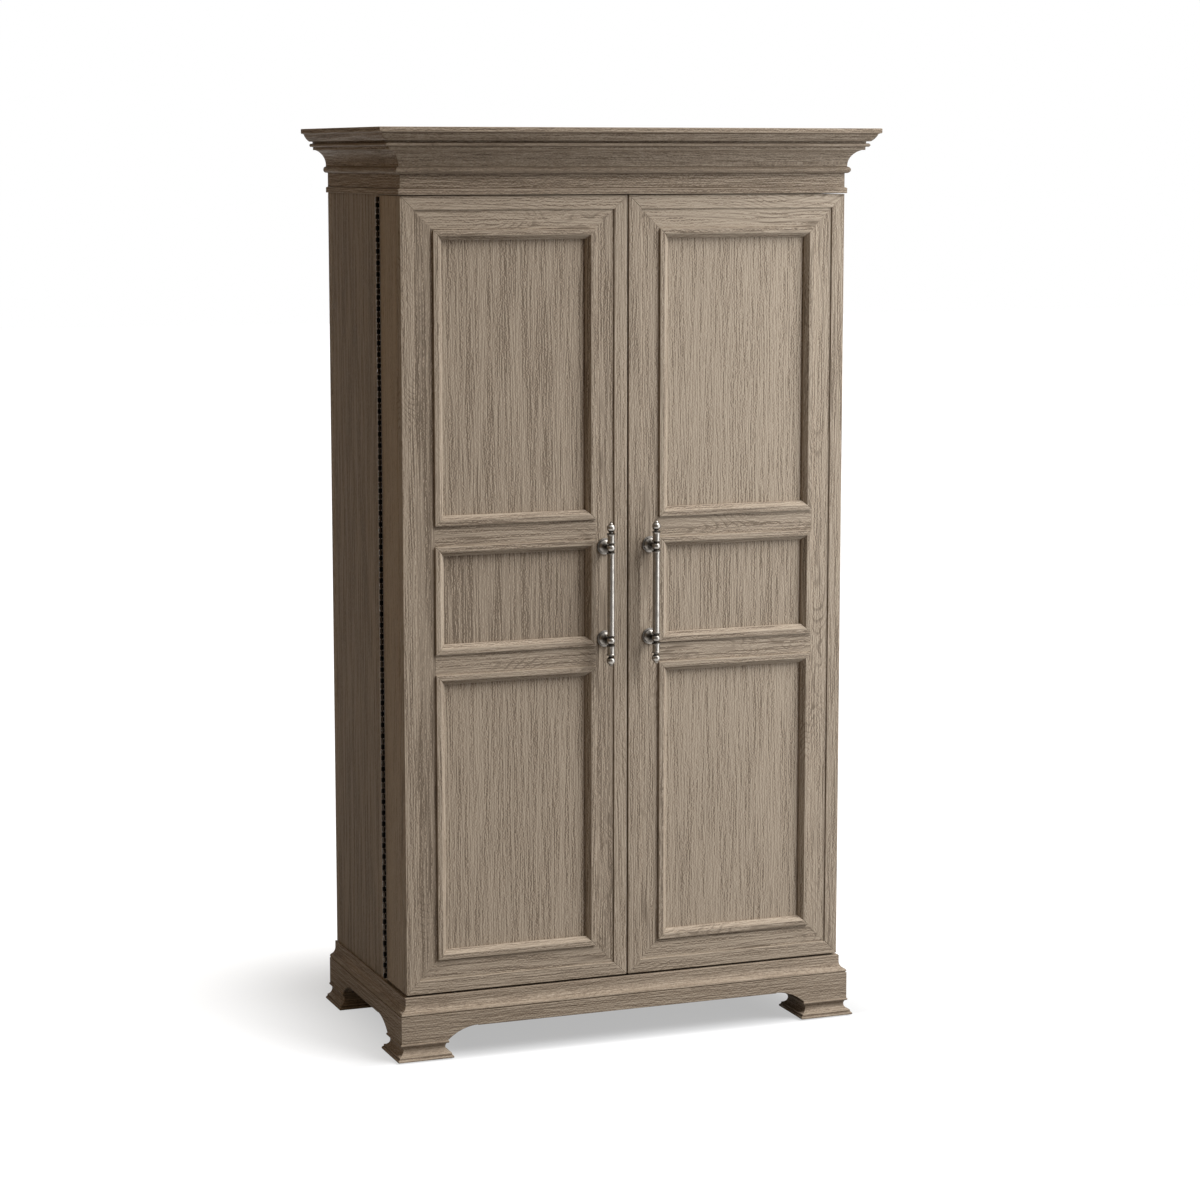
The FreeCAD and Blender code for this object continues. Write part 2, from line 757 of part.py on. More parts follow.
def pins_under(name, ends, z):
    """Four pins under a shelf: two in each of the walls at its ends."""
    pins = []
    low_wall, high_wall = ends
    front = "Place.case_front + Size.shelf_setback + Size.pin_inset"
    back = "Place.case_back - Size.pin_inset"
    for number, y in enumerate((front, back)):
        for wall, x, way in (("low", low_wall, 1), ("high", high_wall, -1)):
            pins.append(rod(f"{name}_{wall}_pin_{number}", "Size.pin_radius", "Size.pin_length",
                            FreeCAD.Vector(way, 0, 0), x, y, f"{z} - Size.pin_radius"))
    return pins


def loose_shelf(name, ends, z):
    """Shelf on pins, a little short of the walls at its ends."""
    across = (f"{ends[0]} + Size.shelf_end_gap", f"{ends[1]} - Size.shelf_end_gap")
    deep = ("Place.case_front + Size.shelf_setback", "Place.case_back")
    return board(name, across, deep, (z, f"{z} + Size.shelf_board"))


def make_interior():
    """Serving counter, divider, loose shelves on pins and stemware rails."""
    inside = ("-Place.case_inner", "Place.case_inner")
    counter_deep = ("Place.case_front + Size.counter_setback", "Place.case_back")
    keep(board("serving_counter", inside, counter_deep, ("Place.counter_low", "Size.counter_top_height")))
    half_divider = "Size.case_board / 2"
    keep(board("lower_divider", (f"-{half_divider}", half_divider),
               ("Place.case_front + Size.divider_setback", "Place.case_back"),
               ("Place.case_floor", "Place.counter_low")))
    pins = []
    upper = []
    for number in range(1, count("Size.upper_shelves") + 1):
        z = (f"(Size.counter_top_height + (Place.stem_rail_low - Size.counter_top_height) * {number}"
             " / (Size.upper_shelves + 1))")
        upper.append(loose_shelf(f"upper_shelf_{number}", inside, z))
        pins += pins_under(f"upper_shelf_{number}", inside, z)
    lower_z = "((Place.case_floor + Place.counter_low) / 2)"
    left_bay = ("-Place.case_inner", f"-{half_divider}")
    lower_left = loose_shelf("lower_left_shelf", left_bay, lower_z)
    lower_pins = pins_under("lower_left_shelf", left_bay, lower_z)
    pins += lower_pins
    pins += [mirrored(f"lower_right_pin_{number}", pin) for number, pin in enumerate(lower_pins)]
    keep(group("upper_shelves", upper))
    keep(group("lower_shelves", [lower_left, mirrored("lower_right_shelf", lower_left)]))
    keep(group("shelf_pins", pins))
    make_stemware_rails()


def make_stemware_rails():
    """Pairs of web and flange strips under the case top, evenly spaced across it."""
    strips = []
    deep = ("Place.case_front + Size.stem_rail_setback", "Place.case_back - Size.stem_rail_back_gap")
    flange_top = "Place.stem_rail_low + Size.stem_flange_height"
    for number in range(count("Size.stem_rails")):
        middle = f"Place.case_inner * ((2 * {number} + 1) / Size.stem_rails - 1)"
        for part, width, low, high in (
            ("web", "Size.stem_web_width", flange_top, "Place.case_ceiling"),
            ("flange", "Size.stem_flange_width", "Place.stem_rail_low", flange_top),
        ):
            across = (f"{middle} - {width} / 2", f"{middle} + {width} / 2")
            strips.append(board(f"stem_{part}_{number}", across, deep, (low, high)))
    keep(group("stemware_rails", strips))


def framing(name, x_range, z_range, width, section):
    """Four strips round a rectangle, mitred at its corners.

    The section lists places in from the strips' outer edge, each with its place on Y.
    """
    left, right = x_range
    low, high = z_range
    strips = []
    for side, edge, deeper in (("bottom", low, "+"), ("top", high, "-")):
        corners = [(y, f"{edge} {deeper} ({inset})") for inset, y in section]
        strip = prism(f"{name}_{side}", "YZ_Plane", corners, f"({right}) - ({left})", left)
        mitre(strip, f"{name}_{side}_low_mitre", "XZ_Plane", left, "+", edge, deeper, width)
        mitre(strip, f"{name}_{side}_high_mitre", "XZ_Plane", right, "-", edge, deeper, width)
        strips.append(strip)
    for side, edge, deeper in (("hinge", left, "+"), ("meeting", right, "-")):
        corners = [(f"{edge} {deeper} ({inset})", y) for inset, y in section]
        strip = prism(f"{name}_{side}", "XY_Plane", corners, f"({high}) - ({low})", low)
        mitre(strip, f"{name}_{side}_low_mitre", "XZ_Plane", low, "+", edge, deeper, width, upright=True)
        mitre(strip, f"{name}_{side}_high_mitre", "XZ_Plane", high, "-", edge, deeper, width, upright=True)
        strips.append(strip)
    return strips


def flat_section(width, front):
    """Section of a flat strip of the door's face, as thick as the face is behind its front."""
    return [("0", "Place.face_back"), ("0", front), (width, front), (width, "Place.face_back")]


def make_door_face():
    """Outer band, mitred frame with two cross rails, panels and panel mouldings."""
    band = "Size.band_width"
    both_hands(group("left_door_band", framing(
        "left_band", ("Place.door_outer", "Place.door_inner"), ("Place.door_bottom", "Place.door_top"),
        band, flat_section(band, "Place.front"))), "right_door_band")
    inside_x = (f"Place.door_outer + {band}", f"Place.door_inner - {band}")
    inside_z = (f"Place.door_bottom + {band}", f"Place.door_top - {band}")
    width = f"(Size.panel_margin - {band})"
    bottom_rail, top_rail, hinge_stile, meeting_stile = framing(
        "left_frame", inside_x, inside_z, width, flat_section(width, "Place.face_front"))
    both_hands(group("left_door_stiles", [hinge_stile, meeting_stile]), "right_door_stiles")
    opening_x = ("Place.opening_left", "Place.opening_right")
    cross_rails = [
        board(f"left_{part}_rail", opening_x, ("Place.face_front", "Place.face_back"), heights)
        for part, heights in (("lower", ("Place.low_head", "Place.middle_sill")),
                              ("upper", ("Place.middle_head", "Place.high_sill")))
    ]
    both_hands(group("left_door_rails", [bottom_rail, *cross_rails, top_rail]), "right_door_rails")
    openings = (
        ("low", "Place.low_sill", "Place.low_head"),
        ("middle", "Place.middle_sill", "Place.middle_head"),
        ("high", "Place.high_sill", "Place.high_head"),
    )
    both_hands(group("left_door_panels", [
        board(f"left_{part}_panel", opening_x, ("Place.panel_front", "Place.face_back"), (sill, head))
        for part, sill, head in openings
    ]), "right_door_panels")
    # Proud and flat at the outer edge, then bevelled at 45 degrees down towards the panel
    crest = "Place.face_front - Size.mould_rise"
    bevel_low = f"{crest} + Size.mould_width - Size.mould_flat"
    moulding_section = [("0", "Place.panel_front"), ("0", crest), ("Size.mould_flat", crest),
                        ("Size.mould_width", bevel_low), ("Size.mould_width", "Place.panel_front")]
    strips = []
    for part, sill, head in openings:
        strips += framing(f"left_{part}_moulding", opening_x, (sill, head), "Size.mould_width",
                          moulding_section)
    both_hands(group("left_panel_mouldings", strips), "right_panel_mouldings")


def make_door_box():
    """Walls, shelves and bottle rails behind the door's face."""
    left, right = "Place.door_outer", "Place.door_inner"
    low, high = "Place.door_bottom", "Place.door_top"
    near, far = "Place.face_back", "Place.door_back"
    groove = "Size.box_groove"
    wall = "Size.box_wall"
    tall = f"{high} - {low}"
    side_walls = []
    for side, face, way in (("hinge", left, "+"), ("meeting", right, "-")):
        corners = [
            (f"{face} {way} {groove}", near),
            (f"{face} {way} {wall}", near),
            (f"{face} {way} {wall}", far),
            (face, far),
            (face, f"{near} + {groove}"),
        ]
        side_walls.append(prism(f"left_{side}_wall", "XY_Plane", corners, tall, low))
    both_hands(group("left_door_side_walls", side_walls), "right_door_side_walls")
    end_walls = []
    for end, face, way in (("bottom", low, "+"), ("top", high, "-")):
        corners = [
            (near, f"{face} {way} {groove}"),
            (near, f"{face} {way} {wall}"),
            (far, f"{face} {way} {wall}"),
            (far, face),
            (f"{near} + {groove}", face),
        ]
        end_walls.append(prism(f"left_{end}_wall", "YZ_Plane", corners, "Place.box_right - Place.box_left",
                               "Place.box_left"))
    both_hands(group("left_door_end_walls", end_walls), "right_door_end_walls")
    shelves = []
    rails = []
    box_x = ("Place.box_left", "Place.box_right")
    deep = (near, f"{far} - Size.door_shelf_setback")
    for number in range(count("Size.door_shelves") + 1):
        top = (f"(Place.box_floor + (Place.box_ceiling - Place.box_floor) * {number}"
               " / (Size.door_shelves + 1))")
        if number > 0:
            shelves.append(board(f"left_door_shelf_{number}", box_x, deep,
                                 (f"{top} - Size.door_shelf_board", top)))
        rails.append(rod(f"left_bottle_rail_{number}", "Size.bottle_rail_radius",
                         "Place.box_right - Place.box_left", FreeCAD.Vector(1, 0, 0), "Place.box_left",
                         f"{far} - Size.bottle_rail_setback", f"{top} + Size.bottle_rail_rise"))
    both_hands(group("left_door_shelves", shelves), "right_door_shelves")
    both_hands(group("left_bottle_rails", rails), "right_bottle_rails")


def turned(name, plane, axis, corners):
    """Body turned about one of its sketch's axes."""
    body = new_body(name)
    sketch = new_sketch(body, f"{name}_profile", plane)
    draw(sketch, corners)
    solid = body.newObject("PartDesign::Revolution", f"{name}_turning")
    solid.Profile = sketch
    solid.ReferenceAxis = (sketch, [axis])
    solid.Angle = 360.0
    return body


def bar_end(direction, tip_length):
    """Profile of one end of the handle's bar: ring, joint between two grooves, ring, collar, ball and tip."""
    post = "Size.handle_post_spacing / 2"
    joint_start = f"{post} - Size.handle_joint_length / 2"
    joint_end = f"{post} + Size.handle_joint_length / 2"
    inner_groove = f"{joint_start} - Size.handle_groove_width"
    outer_groove = f"{joint_end} + Size.handle_groove_width"
    inner_ring = f"{inner_groove} - Size.handle_ring_width"
    outer_ring = f"{outer_groove} + Size.handle_ring_width"
    flare = f"{post} + Size.handle_collar_reach"
    flare_end = f"{flare} + Size.handle_collar_width"
    neck_end = f"{flare_end} + Size.handle_neck_length"
    bar, ring, neck = "Size.handle_bar_radius", "Size.handle_ring_radius", "Size.handle_neck_radius"
    groove, ball, tip = "Size.handle_groove_radius", "Size.handle_ball_radius", "Size.handle_tip_radius"
    ball_middle = f"{neck_end} + sqrt({ball} ^ 2 - {neck} ^ 2)"
    ball_end = f"{ball_middle} + sqrt({ball} ^ 2 - {tip} ^ 2)"
    corners = [
        (bar, inner_ring),
        (ring, inner_ring),
        (ring, inner_groove),
        (groove, inner_groove),
        (groove, joint_start, (f"{bar} + Size.handle_joint_swell", post)),
        (groove, joint_end),
        (groove, outer_groove),
        (ring, outer_groove),
        (ring, outer_ring),
        (bar, outer_ring),
        (bar, flare),
        ("Size.handle_collar_radius", flare_end),
        (neck, flare_end),
        (neck, neck_end, (ball, ball_middle)),
        (tip, ball_end),
        (tip, f"{ball_end} + Size.handle_tip_band"),
        ("0", f"{ball_middle} + {tip_length}"),
    ]
    turned_ways = []
    for radius, distance, *arc in corners:
        through = [(arc_radius, f"{direction} ({arc_distance})") for arc_radius, arc_distance in arc]
        turned_ways.append((radius, f"{direction} ({distance})", *through))
    return turned_ways


def make_handle():
    """Turned bar with a spire at the top and a nub at the bottom, on two posts with stepped rosettes."""
    low_end = bar_end("-", "Size.handle_nub_length")
    profile = reverse_corners(low_end) + bar_end("+", "Size.handle_spire_length")
    bar = turned("left_handle_bar", "XZ_Plane", "V_Axis", profile)
    seat(bar, "Place.handle_x", "Place.handle_y", "Place.handle_z")
    both_hands(bar, "right_handle_bar")
    seat_radius = "Size.handle_bar_radius + Size.handle_joint_swell + Size.handle_seat_gap"
    bore = rod("left_handle_seat", seat_radius, "Size.handle_post_spacing * 2", FreeCAD.Vector(0, 0, 1),
               "Place.handle_x", "Place.handle_y", "Place.handle_z - Size.handle_post_spacing")
    posts = []
    for part, sign in (("low", "-"), ("high", "+")):
        shaft = post_and_rosette(f"left_{part}_post_blank")
        seat(shaft, "Place.handle_x", "Place.face_front",
             f"Place.handle_z {sign} Size.handle_post_spacing / 2")
        cut = doc.addObject("Part::Cut", f"left_{part}_post")
        cut.Base = shaft
        cut.Tool = bore
        posts.append(cut)
    both_hands(group("left_handle_posts", posts), "right_handle_posts")


def post_and_rosette(name):
    """Post that stands out of the door on a stepped rosette, turned about Y."""
    step_front = "Size.rosette_foot + Size.rosette_step"
    cone_front = f"{step_front} + Size.rosette_cone"
    profile = [
        ("0", "0"),
        ("0", "Size.rosette_radius"),
        ("-Size.rosette_foot", "Size.rosette_radius"),
        ("-Size.rosette_foot", "Size.rosette_step_radius"),
        (f"-({step_front})", "Size.rosette_step_radius"),
        (f"-({cone_front})", "Size.handle_post_radius"),
        ("-Size.handle_standoff", "Size.handle_post_radius"),
        ("-Size.handle_standoff", "0"),
    ]
    return turned(name, "YZ_Plane", "H_Axis", profile)


def hinge_leaf(name, leaf_side, first_knuckle, knuckles):
    """Plate with every second knuckle of the barrel rolled on its edge."""
    if leaf_side == "door":
        near, far = "Place.door_back", "Place.door_back + Size.leaf_thickness"
    else:
        near, far = "Place.case_front - Size.leaf_thickness", "Place.case_front"
    edge = "-Place.body_half"
    inner = f"{edge} + Size.leaf_width"
    body = new_body(name)
    plate = [(edge, near), (inner, near), (inner, far), (edge, far)]
    length = "Place.knuckle_pitch * (2 * Size.knuckle_pairs + 1)"
    pad(body, f"{name}_plate", "XY_Plane", plate, length, "Place.hinge_bottom")

    def barrel_side(y):
        return f"Place.pin_x + sqrt(Size.knuckle_radius ^ 2 - ({y} - Place.pin_y) ^ 2)"

    roll = [
        (edge, far),
        (barrel_side(far), far, ("Place.pin_x - Size.knuckle_radius", "Place.pin_y")),
        (barrel_side(near), near),
        (edge, near),
    ]
    knuckle = pad(body, f"{name}_knuckle", "XY_Plane", roll, "Place.knuckle_pitch - Size.knuckle_end_gap",
                  f"Place.hinge_bottom + Place.knuckle_pitch * {first_knuckle} + Size.knuckle_end_gap / 2")
    doc.recompute()
    row = body.newObject("PartDesign::LinearPattern", f"{name}_knuckles")
    row.Originals = [knuckle]
    row.Direction = (origin_feature(body, "Z_Axis"), [""])
    row.setExpression("Length", f"2 * Place.knuckle_pitch * ({knuckles} - 1)")
    row.setExpression("Occurrences", knuckles)
    body.Tip = row
    bore = new_sketch(body, f"{name}_bore_outline", "XY_Plane")
    draw_circle(bore, "Place.pin_x", "Place.pin_y", "Size.hinge_pin_radius + Size.hinge_running_gap")
    cut_through(body, f"{name}_bore", bore)
    return body


def make_hinges():
    """Continuous hinges: a leaf on the door, a leaf on the case and a pin."""
    both_hands(hinge_leaf("left_hinge_door_leaf", "door", 1, "Size.knuckle_pairs"), "right_hinge_door_leaf")
    both_hands(hinge_leaf("left_hinge_case_leaf", "case", 0, "(Size.knuckle_pairs + 1)"),
               "right_hinge_case_leaf")
    length = "Place.knuckle_pitch * (2 * Size.knuckle_pairs + 1)"
    pin = rod("left_hinge_pin", "Size.hinge_pin_radius", length, FreeCAD.Vector(0, 0, 1),
              "Place.pin_x", "Place.pin_y", "Place.hinge_bottom")
    keep(group("hinge_pins", [pin, mirrored("right_hinge_pin", pin)]))


def make_catches():
    """Magnets under the case top and the angled plates on the doors that meet them."""
    inner = "Place.box_right - Size.catch_offset"
    across = (f"{inner} - Size.catch_width", inner)
    reach = "Place.case_front - Size.catch_reach"
    magnet_low = "Place.case_ceiling - Size.catch_height"
    magnet = board("left_magnet", across, (reach, f"{reach} + Size.catch_depth"),
                   (magnet_low, "Place.case_ceiling"))
    keep(group("magnetic_catches", [magnet, mirrored("right_magnet", magnet)]))
    far = "Place.door_back"
    plate = "Size.strike_thickness"
    angle = [
        (far, magnet_low),
        (far, "Place.box_ceiling"),
        (f"{far} - Size.strike_flange", "Place.box_ceiling"),
        (f"{far} - Size.strike_flange", f"Place.box_ceiling - {plate}"),
        (f"{far} - {plate}", f"Place.box_ceiling - {plate}"),
        (f"{far} - {plate}", magnet_low),
    ]
    strike = prism("left_door_strike", "YZ_Plane", angle, "Size.catch_width", across[0])
    both_hands(strike, "right_door_strike")


def check_model():
    """Stop if any step failed or any sub-part isn't sound."""
    for item in doc.Objects:
        if "Invalid" in item.State or "Error" in item.State:
            raise ValueError(f"{item.Name} failed: {item.State}")
    for piece in nodes:
        if piece.Shape.isNull() or not piece.Shape.isValid() or not piece.Shape.Solids:
            raise ValueError(f"{piece.Name} is not a sound solid")


def write_parts():
    """One file for each sub-part, under its own name."""
    os.makedirs("parts", exist_ok=True)
    for piece in nodes:
        piece.Label = piece.Name
        piece.Shape.exportStep(f"parts/{piece.Label}.step")


make_crown()
make_base()
make_case()
make_interior()
make_door_face()
make_door_box()
make_handle()
make_hinges()
make_catches()
doc.recompute()
check_model()
write_parts()
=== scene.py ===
import json
import math
import random

import bpy
import numpy as np
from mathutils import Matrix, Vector

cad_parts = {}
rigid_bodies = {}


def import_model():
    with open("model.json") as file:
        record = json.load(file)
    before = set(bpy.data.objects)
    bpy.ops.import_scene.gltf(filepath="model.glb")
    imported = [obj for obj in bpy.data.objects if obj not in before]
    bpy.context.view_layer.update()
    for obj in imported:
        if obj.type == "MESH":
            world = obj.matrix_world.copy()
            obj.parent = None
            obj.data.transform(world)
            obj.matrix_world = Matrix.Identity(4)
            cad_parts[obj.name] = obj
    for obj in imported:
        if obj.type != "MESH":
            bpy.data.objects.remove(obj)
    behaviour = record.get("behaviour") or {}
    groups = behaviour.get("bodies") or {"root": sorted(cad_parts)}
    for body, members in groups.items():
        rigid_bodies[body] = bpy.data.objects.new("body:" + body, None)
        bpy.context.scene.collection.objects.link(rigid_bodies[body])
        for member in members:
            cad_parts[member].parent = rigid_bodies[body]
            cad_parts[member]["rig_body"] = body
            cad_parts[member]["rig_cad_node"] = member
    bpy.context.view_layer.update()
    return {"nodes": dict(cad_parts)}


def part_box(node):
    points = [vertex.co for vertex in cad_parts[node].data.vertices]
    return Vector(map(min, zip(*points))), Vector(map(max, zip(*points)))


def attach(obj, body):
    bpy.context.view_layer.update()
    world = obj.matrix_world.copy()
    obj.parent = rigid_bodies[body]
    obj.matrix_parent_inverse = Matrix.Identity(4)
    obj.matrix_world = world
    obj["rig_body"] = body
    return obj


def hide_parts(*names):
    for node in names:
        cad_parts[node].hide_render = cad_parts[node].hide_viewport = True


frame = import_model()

bl_info = {
    "name": "Bar Cabinet Finish",
    "version": (1, 0, 0),
    "blender": (4, 5, 0),
    "location": "View3D > Sidebar > Cabinet",
    "description": "Gives a bar cabinet its brushed oak, aged metal, fine hinges and studio",
    "category": "Object",
}

MM = 0.001
HANDS = ("left", "right")
RIGHT_ANGLE = math.radians(90.0)
FACING_RIGHT = (0.0, RIGHT_ANGLE, 0.0)
FACING_LEFT = (0.0, -RIGHT_ANGLE, 0.0)
FACING_BACK = (-RIGHT_ANGLE, 0.0, 0.0)
FACING_FRONT = (RIGHT_ANGLE, 0.0, 0.0)
DOOR_BODY = {hand: f"{hand}_door" for hand in HANDS}
CASE_BODY = "case"

# Finishes by name, made by the first operator
MATERIALS = {}

# Directions that the fibres of a board can run in
ALONG_X, ALONG_Y, ALONG_Z = range(3)

# Points nearer than this are one point, and faces flatter to each other than this are one face
SAME_POINT = 0.01 * MM
SAME_FACE = math.radians(0.5)

# Edges of the CAD pieces sharper than this are eased, in so many steps
EASED_ANGLE = math.radians(32.0)
EASED_STEPS = 2
# Faces wider than this many times the easing are no part of it
EASED_WIDEST = 1.2
# Faces that meet at less than this are shaded as one, on CAD pieces and on new ones
SMOOTH_ANGLE = math.radians(50.0)
SMOOTH_NEW_ANGLE = math.radians(40.0)
# How much more large faces count in the shading than small ones; 50 is evenly
NORMAL_WEIGHT = 80


def colour_setting(label, text, default):
    """Setting that holds a colour."""
    return bpy.props.FloatVectorProperty(
        name=label, description=text, default=default, size=3, min=0.0, max=1.0, subtype="COLOR")


def number_setting(label, text, default, lowest, highest, **kind):
    """Setting that holds a number, with its limits and its unit or subtype."""
    return bpy.props.FloatProperty(
        name=label, description=text, default=default, min=lowest, max=highest, **kind)


def length_setting(label, text, *lengths):
    """Setting that holds a length, with its default and limits in millimetres."""
    return number_setting(label, text, *(length * MM for length in lengths), unit="LENGTH")


class OakSettings(bpy.types.PropertyGroup):
    """Brushed and glazed oak."""

    pale: colour_setting("Pale wood", "Colour of the smooth wood between the pores", (0.450, 0.372, 0.290))
    mellow: colour_setting("Mellow wood", "Colour of the browner streaks", (0.258, 0.200, 0.147))
    glaze: colour_setting("Glaze", "Colour of the dark glaze that stays in the pores", (0.092, 0.065, 0.044))
    ring_width: length_setting("Ring width", "Width of one year's growth", 6.4, 0.5, 20)
    eased_edge: length_setting("Eased edge", "Width of the rounding on the boards' edges", 1.1, 0.1, 5)
    flush_edge: length_setting(
        "Flush edge", "Width of the rounding on boards glued flush to each other", 0.25, 0.05, 5)


class MetalSettings(bpy.types.PropertyGroup):
    """Metals of the handles, rails and hinges."""

    pewter: colour_setting("Pewter", "Rubbed metal of the handles and rails", (0.350, 0.325, 0.295))
    pewter_tarnish: colour_setting(
        "Pewter tarnish", "Dark tarnish left in the turned grooves", (0.035, 0.029, 0.023))
    rail: colour_setting(
        "Rail metal", "Duller metal of the bottle rails, pins and screws inside", (0.190, 0.174, 0.156))
    hinge: colour_setting("Hinge metal", "Dark bronze of the continuous hinges", (0.050, 0.039, 0.029))


class HingeSettings(bpy.types.PropertyGroup):
    """Fine parts of the continuous hinges."""

    knuckle_pitch: length_setting("Knuckle pitch", "Distance from one knuckle to the next", 12.7, 5, 100)
    knuckle_gap: length_setting("Knuckle gap", "Gap between neighbouring knuckles", 2.2, 0.1, 5)
    leaf_thickness: length_setting("Leaf thickness", "Thickness of the leaves' sheet", 1.2, 0.5, 3)
    plate_gap: length_setting("Plate gap", "Gap between a leaf's plate and the knuckles", 0.3, 0.05, 3)
    screw_radius: length_setting("Screw radius", "Radius of the screw heads", 3.2, 1, 8)
    screw_rise: length_setting("Screw rise", "How far the screw heads stand out of the leaves", 0.2, 0.05, 1)
    screw_pitch: length_setting("Screw pitch", "Distance from one screw to the next", 88.9, 20, 500)


class FittingSettings(bpy.types.PropertyGroup):
    """Small fittings of the case and the doors."""

    flange_radius: length_setting(
        "Flange radius", "Radius of the flanges that hold the bottle rails", 9.0, 6, 20)
    flange_rise: length_setting("Flange rise", "How far a flange stands out of the door's wall", 2.0, 0.5, 10)
    collar_rise: length_setting("Collar rise", "How far a flange's collar runs along its rail", 3.0, 0.5, 20)
    sleeve_radius: length_setting("Sleeve radius", "Radius of the sleeves for the shelf pins", 4.6, 3, 10)
    sleeve_rise: length_setting("Sleeve rise", "How far a sleeve's rim stands out of the case", 0.4, 0.1, 1)
    sleeve_pitch: length_setting("Sleeve pitch", "Distance from one shelf height to the next", 32.0, 10, 100)
    sleeves_each_way: bpy.props.IntProperty(
        name="Sleeves each way", description="Spare sleeves above and below each shelf pin",
        default=3, min=0, max=8)
    back_screw_radius: length_setting(
        "Back screw radius", "Radius of the screw heads in the back panel", 4.0, 1, 10)
    back_screw_inset: length_setting(
        "Back screw inset", "Distance of the screws from the back panel's edges", 11.0, 5, 50)
    back_screw_pitch: length_setting(
        "Back screw pitch", "About how far the back panel's screws are apart", 170.0, 50, 500)


class StageSettings(bpy.types.PropertyGroup):
    """Floor, light and camera."""

    floor: colour_setting("Floor", "Colour of the studio floor", (0.26, 0.262, 0.266))
    sun_strength: number_setting(
        "High light", "Strength of the wide, soft light from high at the front right", 3.1, 0.0, 50.0)
    key_power: number_setting(
        "Key light", "Power of the tall lamp beside the right-hand door", 25.0, 0.0, 5000.0, unit="POWER")
    back_power: number_setting(
        "Back light", "Power of the lamp behind the cabinet", 8.0, 0.0, 5000.0, unit="POWER")
    fill: colour_setting("Fill", "Even light from all round", (0.155, 0.121, 0.086))
    flag: colour_setting("Flag", "Colour of the dark cards at the left and the front", (0.270, 0.200, 0.130))
    # The floor's glow by the cabinet; the lower it is, the darker the painted shade there
    floor_glow: number_setting(
        "Floor glow", "White added to what the camera sees of the floor by the cabinet", 0.45, 0.0, 1.0,
        subtype="FACTOR")
    lens: number_setting("Lens", "Focal length of the camera", 92.47, 20.0, 300.0, unit="CAMERA")


# Selecting and shaping


def take(*objects):
    """Select only these objects, the first one active."""
    bpy.ops.object.select_all(action="DESELECT")
    for obj in objects:
        obj.select_set(True)
    bpy.context.view_layer.objects.active = objects[0]


def copy_node(node, name):
    """Copy of a CAD node as a piece of its own, with its triangles merged into whole faces."""
    take(frame["nodes"][node])
    bpy.ops.object.duplicate(linked=False)
    piece = bpy.context.object
    bpy.ops.object.parent_clear(type="CLEAR_KEEP_TRANSFORM")
    piece.name = name
    piece.data.name = name
    piece.data.materials.clear()
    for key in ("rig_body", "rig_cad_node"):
        del piece[key]
    bpy.ops.object.mode_set(mode="EDIT")
    bpy.ops.mesh.select_all(action="SELECT")
    bpy.ops.mesh.customdata_custom_splitnormals_clear()
    bpy.ops.mesh.remove_doubles(threshold=SAME_POINT)
    bpy.ops.mesh.dissolve_limited(angle_limit=SAME_FACE)
    bpy.ops.object.mode_set(mode="OBJECT")
    return piece


def read(items, name, size=1, kind=np.float32):
    """One property of all the vertices, edges, corners or faces of a mesh."""
    values = np.zeros(len(items) * size, kind)
    items.foreach_get(name, values)
    return values.reshape(-1, size) if size > 1 else values


def mark(mesh, name, values, kind="FLOAT", domain="POINT"):
    """Store values as an attribute of a mesh, for its material to read."""
    field = "vector" if kind == "FLOAT_VECTOR" else "value"
    mesh.attributes.new(name, kind, domain).data.foreach_set(field, values.astype(np.float32).ravel())


def face_corners(mesh):
    """The face that each corner belongs to and the edge that leaves it."""
    faces = np.repeat(np.arange(len(mesh.polygons)), read(mesh.polygons, "loop_total", kind=np.int32))
    return faces, read(mesh.loops, "edge_index", kind=np.int32)


def face_widths(mesh):
    """About how wide each face is: twice its area over its outline."""
    points, ends = read(mesh.vertices, "co", 3), read(mesh.edges, "vertices", 2, np.int32)
    lengths = np.linalg.norm(points[ends[:, 0]] - points[ends[:, 1]], axis=1)
    faces, edges = face_corners(mesh)
    outline = np.bincount(faces, lengths[edges], len(mesh.polygons))
    return 2 * read(mesh.polygons, "area") / outline


def hollow_faces(mesh):
    """Which faces lie behind their neighbours, as the fillet of an inner corner does."""
    centres, normals = read(mesh.polygons, "center", 3), read(mesh.polygons, "normal", 3)
    faces, edges = face_corners(mesh)
    order = np.argsort(edges, kind="stable")
    edges, faces = edges[order], faces[order]
    shared = edges[:-1] == edges[1:]
    first, second = faces[:-1][shared], faces[1:][shared]
    rise = np.zeros(len(centres))
    for face, beside in ((first, second), (second, first)):
        np.add.at(rise, face, ((centres[beside] - centres[face]) * normals[face]).sum(1))
    return rise > 0


def bevel_sharp(obj, width, sharper_than=SMOOTH_ANGLE, steps=1):
    """Bevel an object's sharp edges in edit mode and leave the new faces selected."""
    take(obj)
    bpy.ops.object.mode_set(mode="EDIT")
    bpy.ops.mesh.select_mode(type="EDGE")
    bpy.ops.mesh.select_all(action="DESELECT")
    bpy.ops.mesh.edges_select_sharp(sharpness=sharper_than)
    bpy.ops.mesh.bevel(offset=width, segments=steps, affect="EDGES", clamp_overlap=True)
    bpy.ops.mesh.select_mode(type="FACE")
    bpy.ops.object.mode_set(mode="OBJECT")


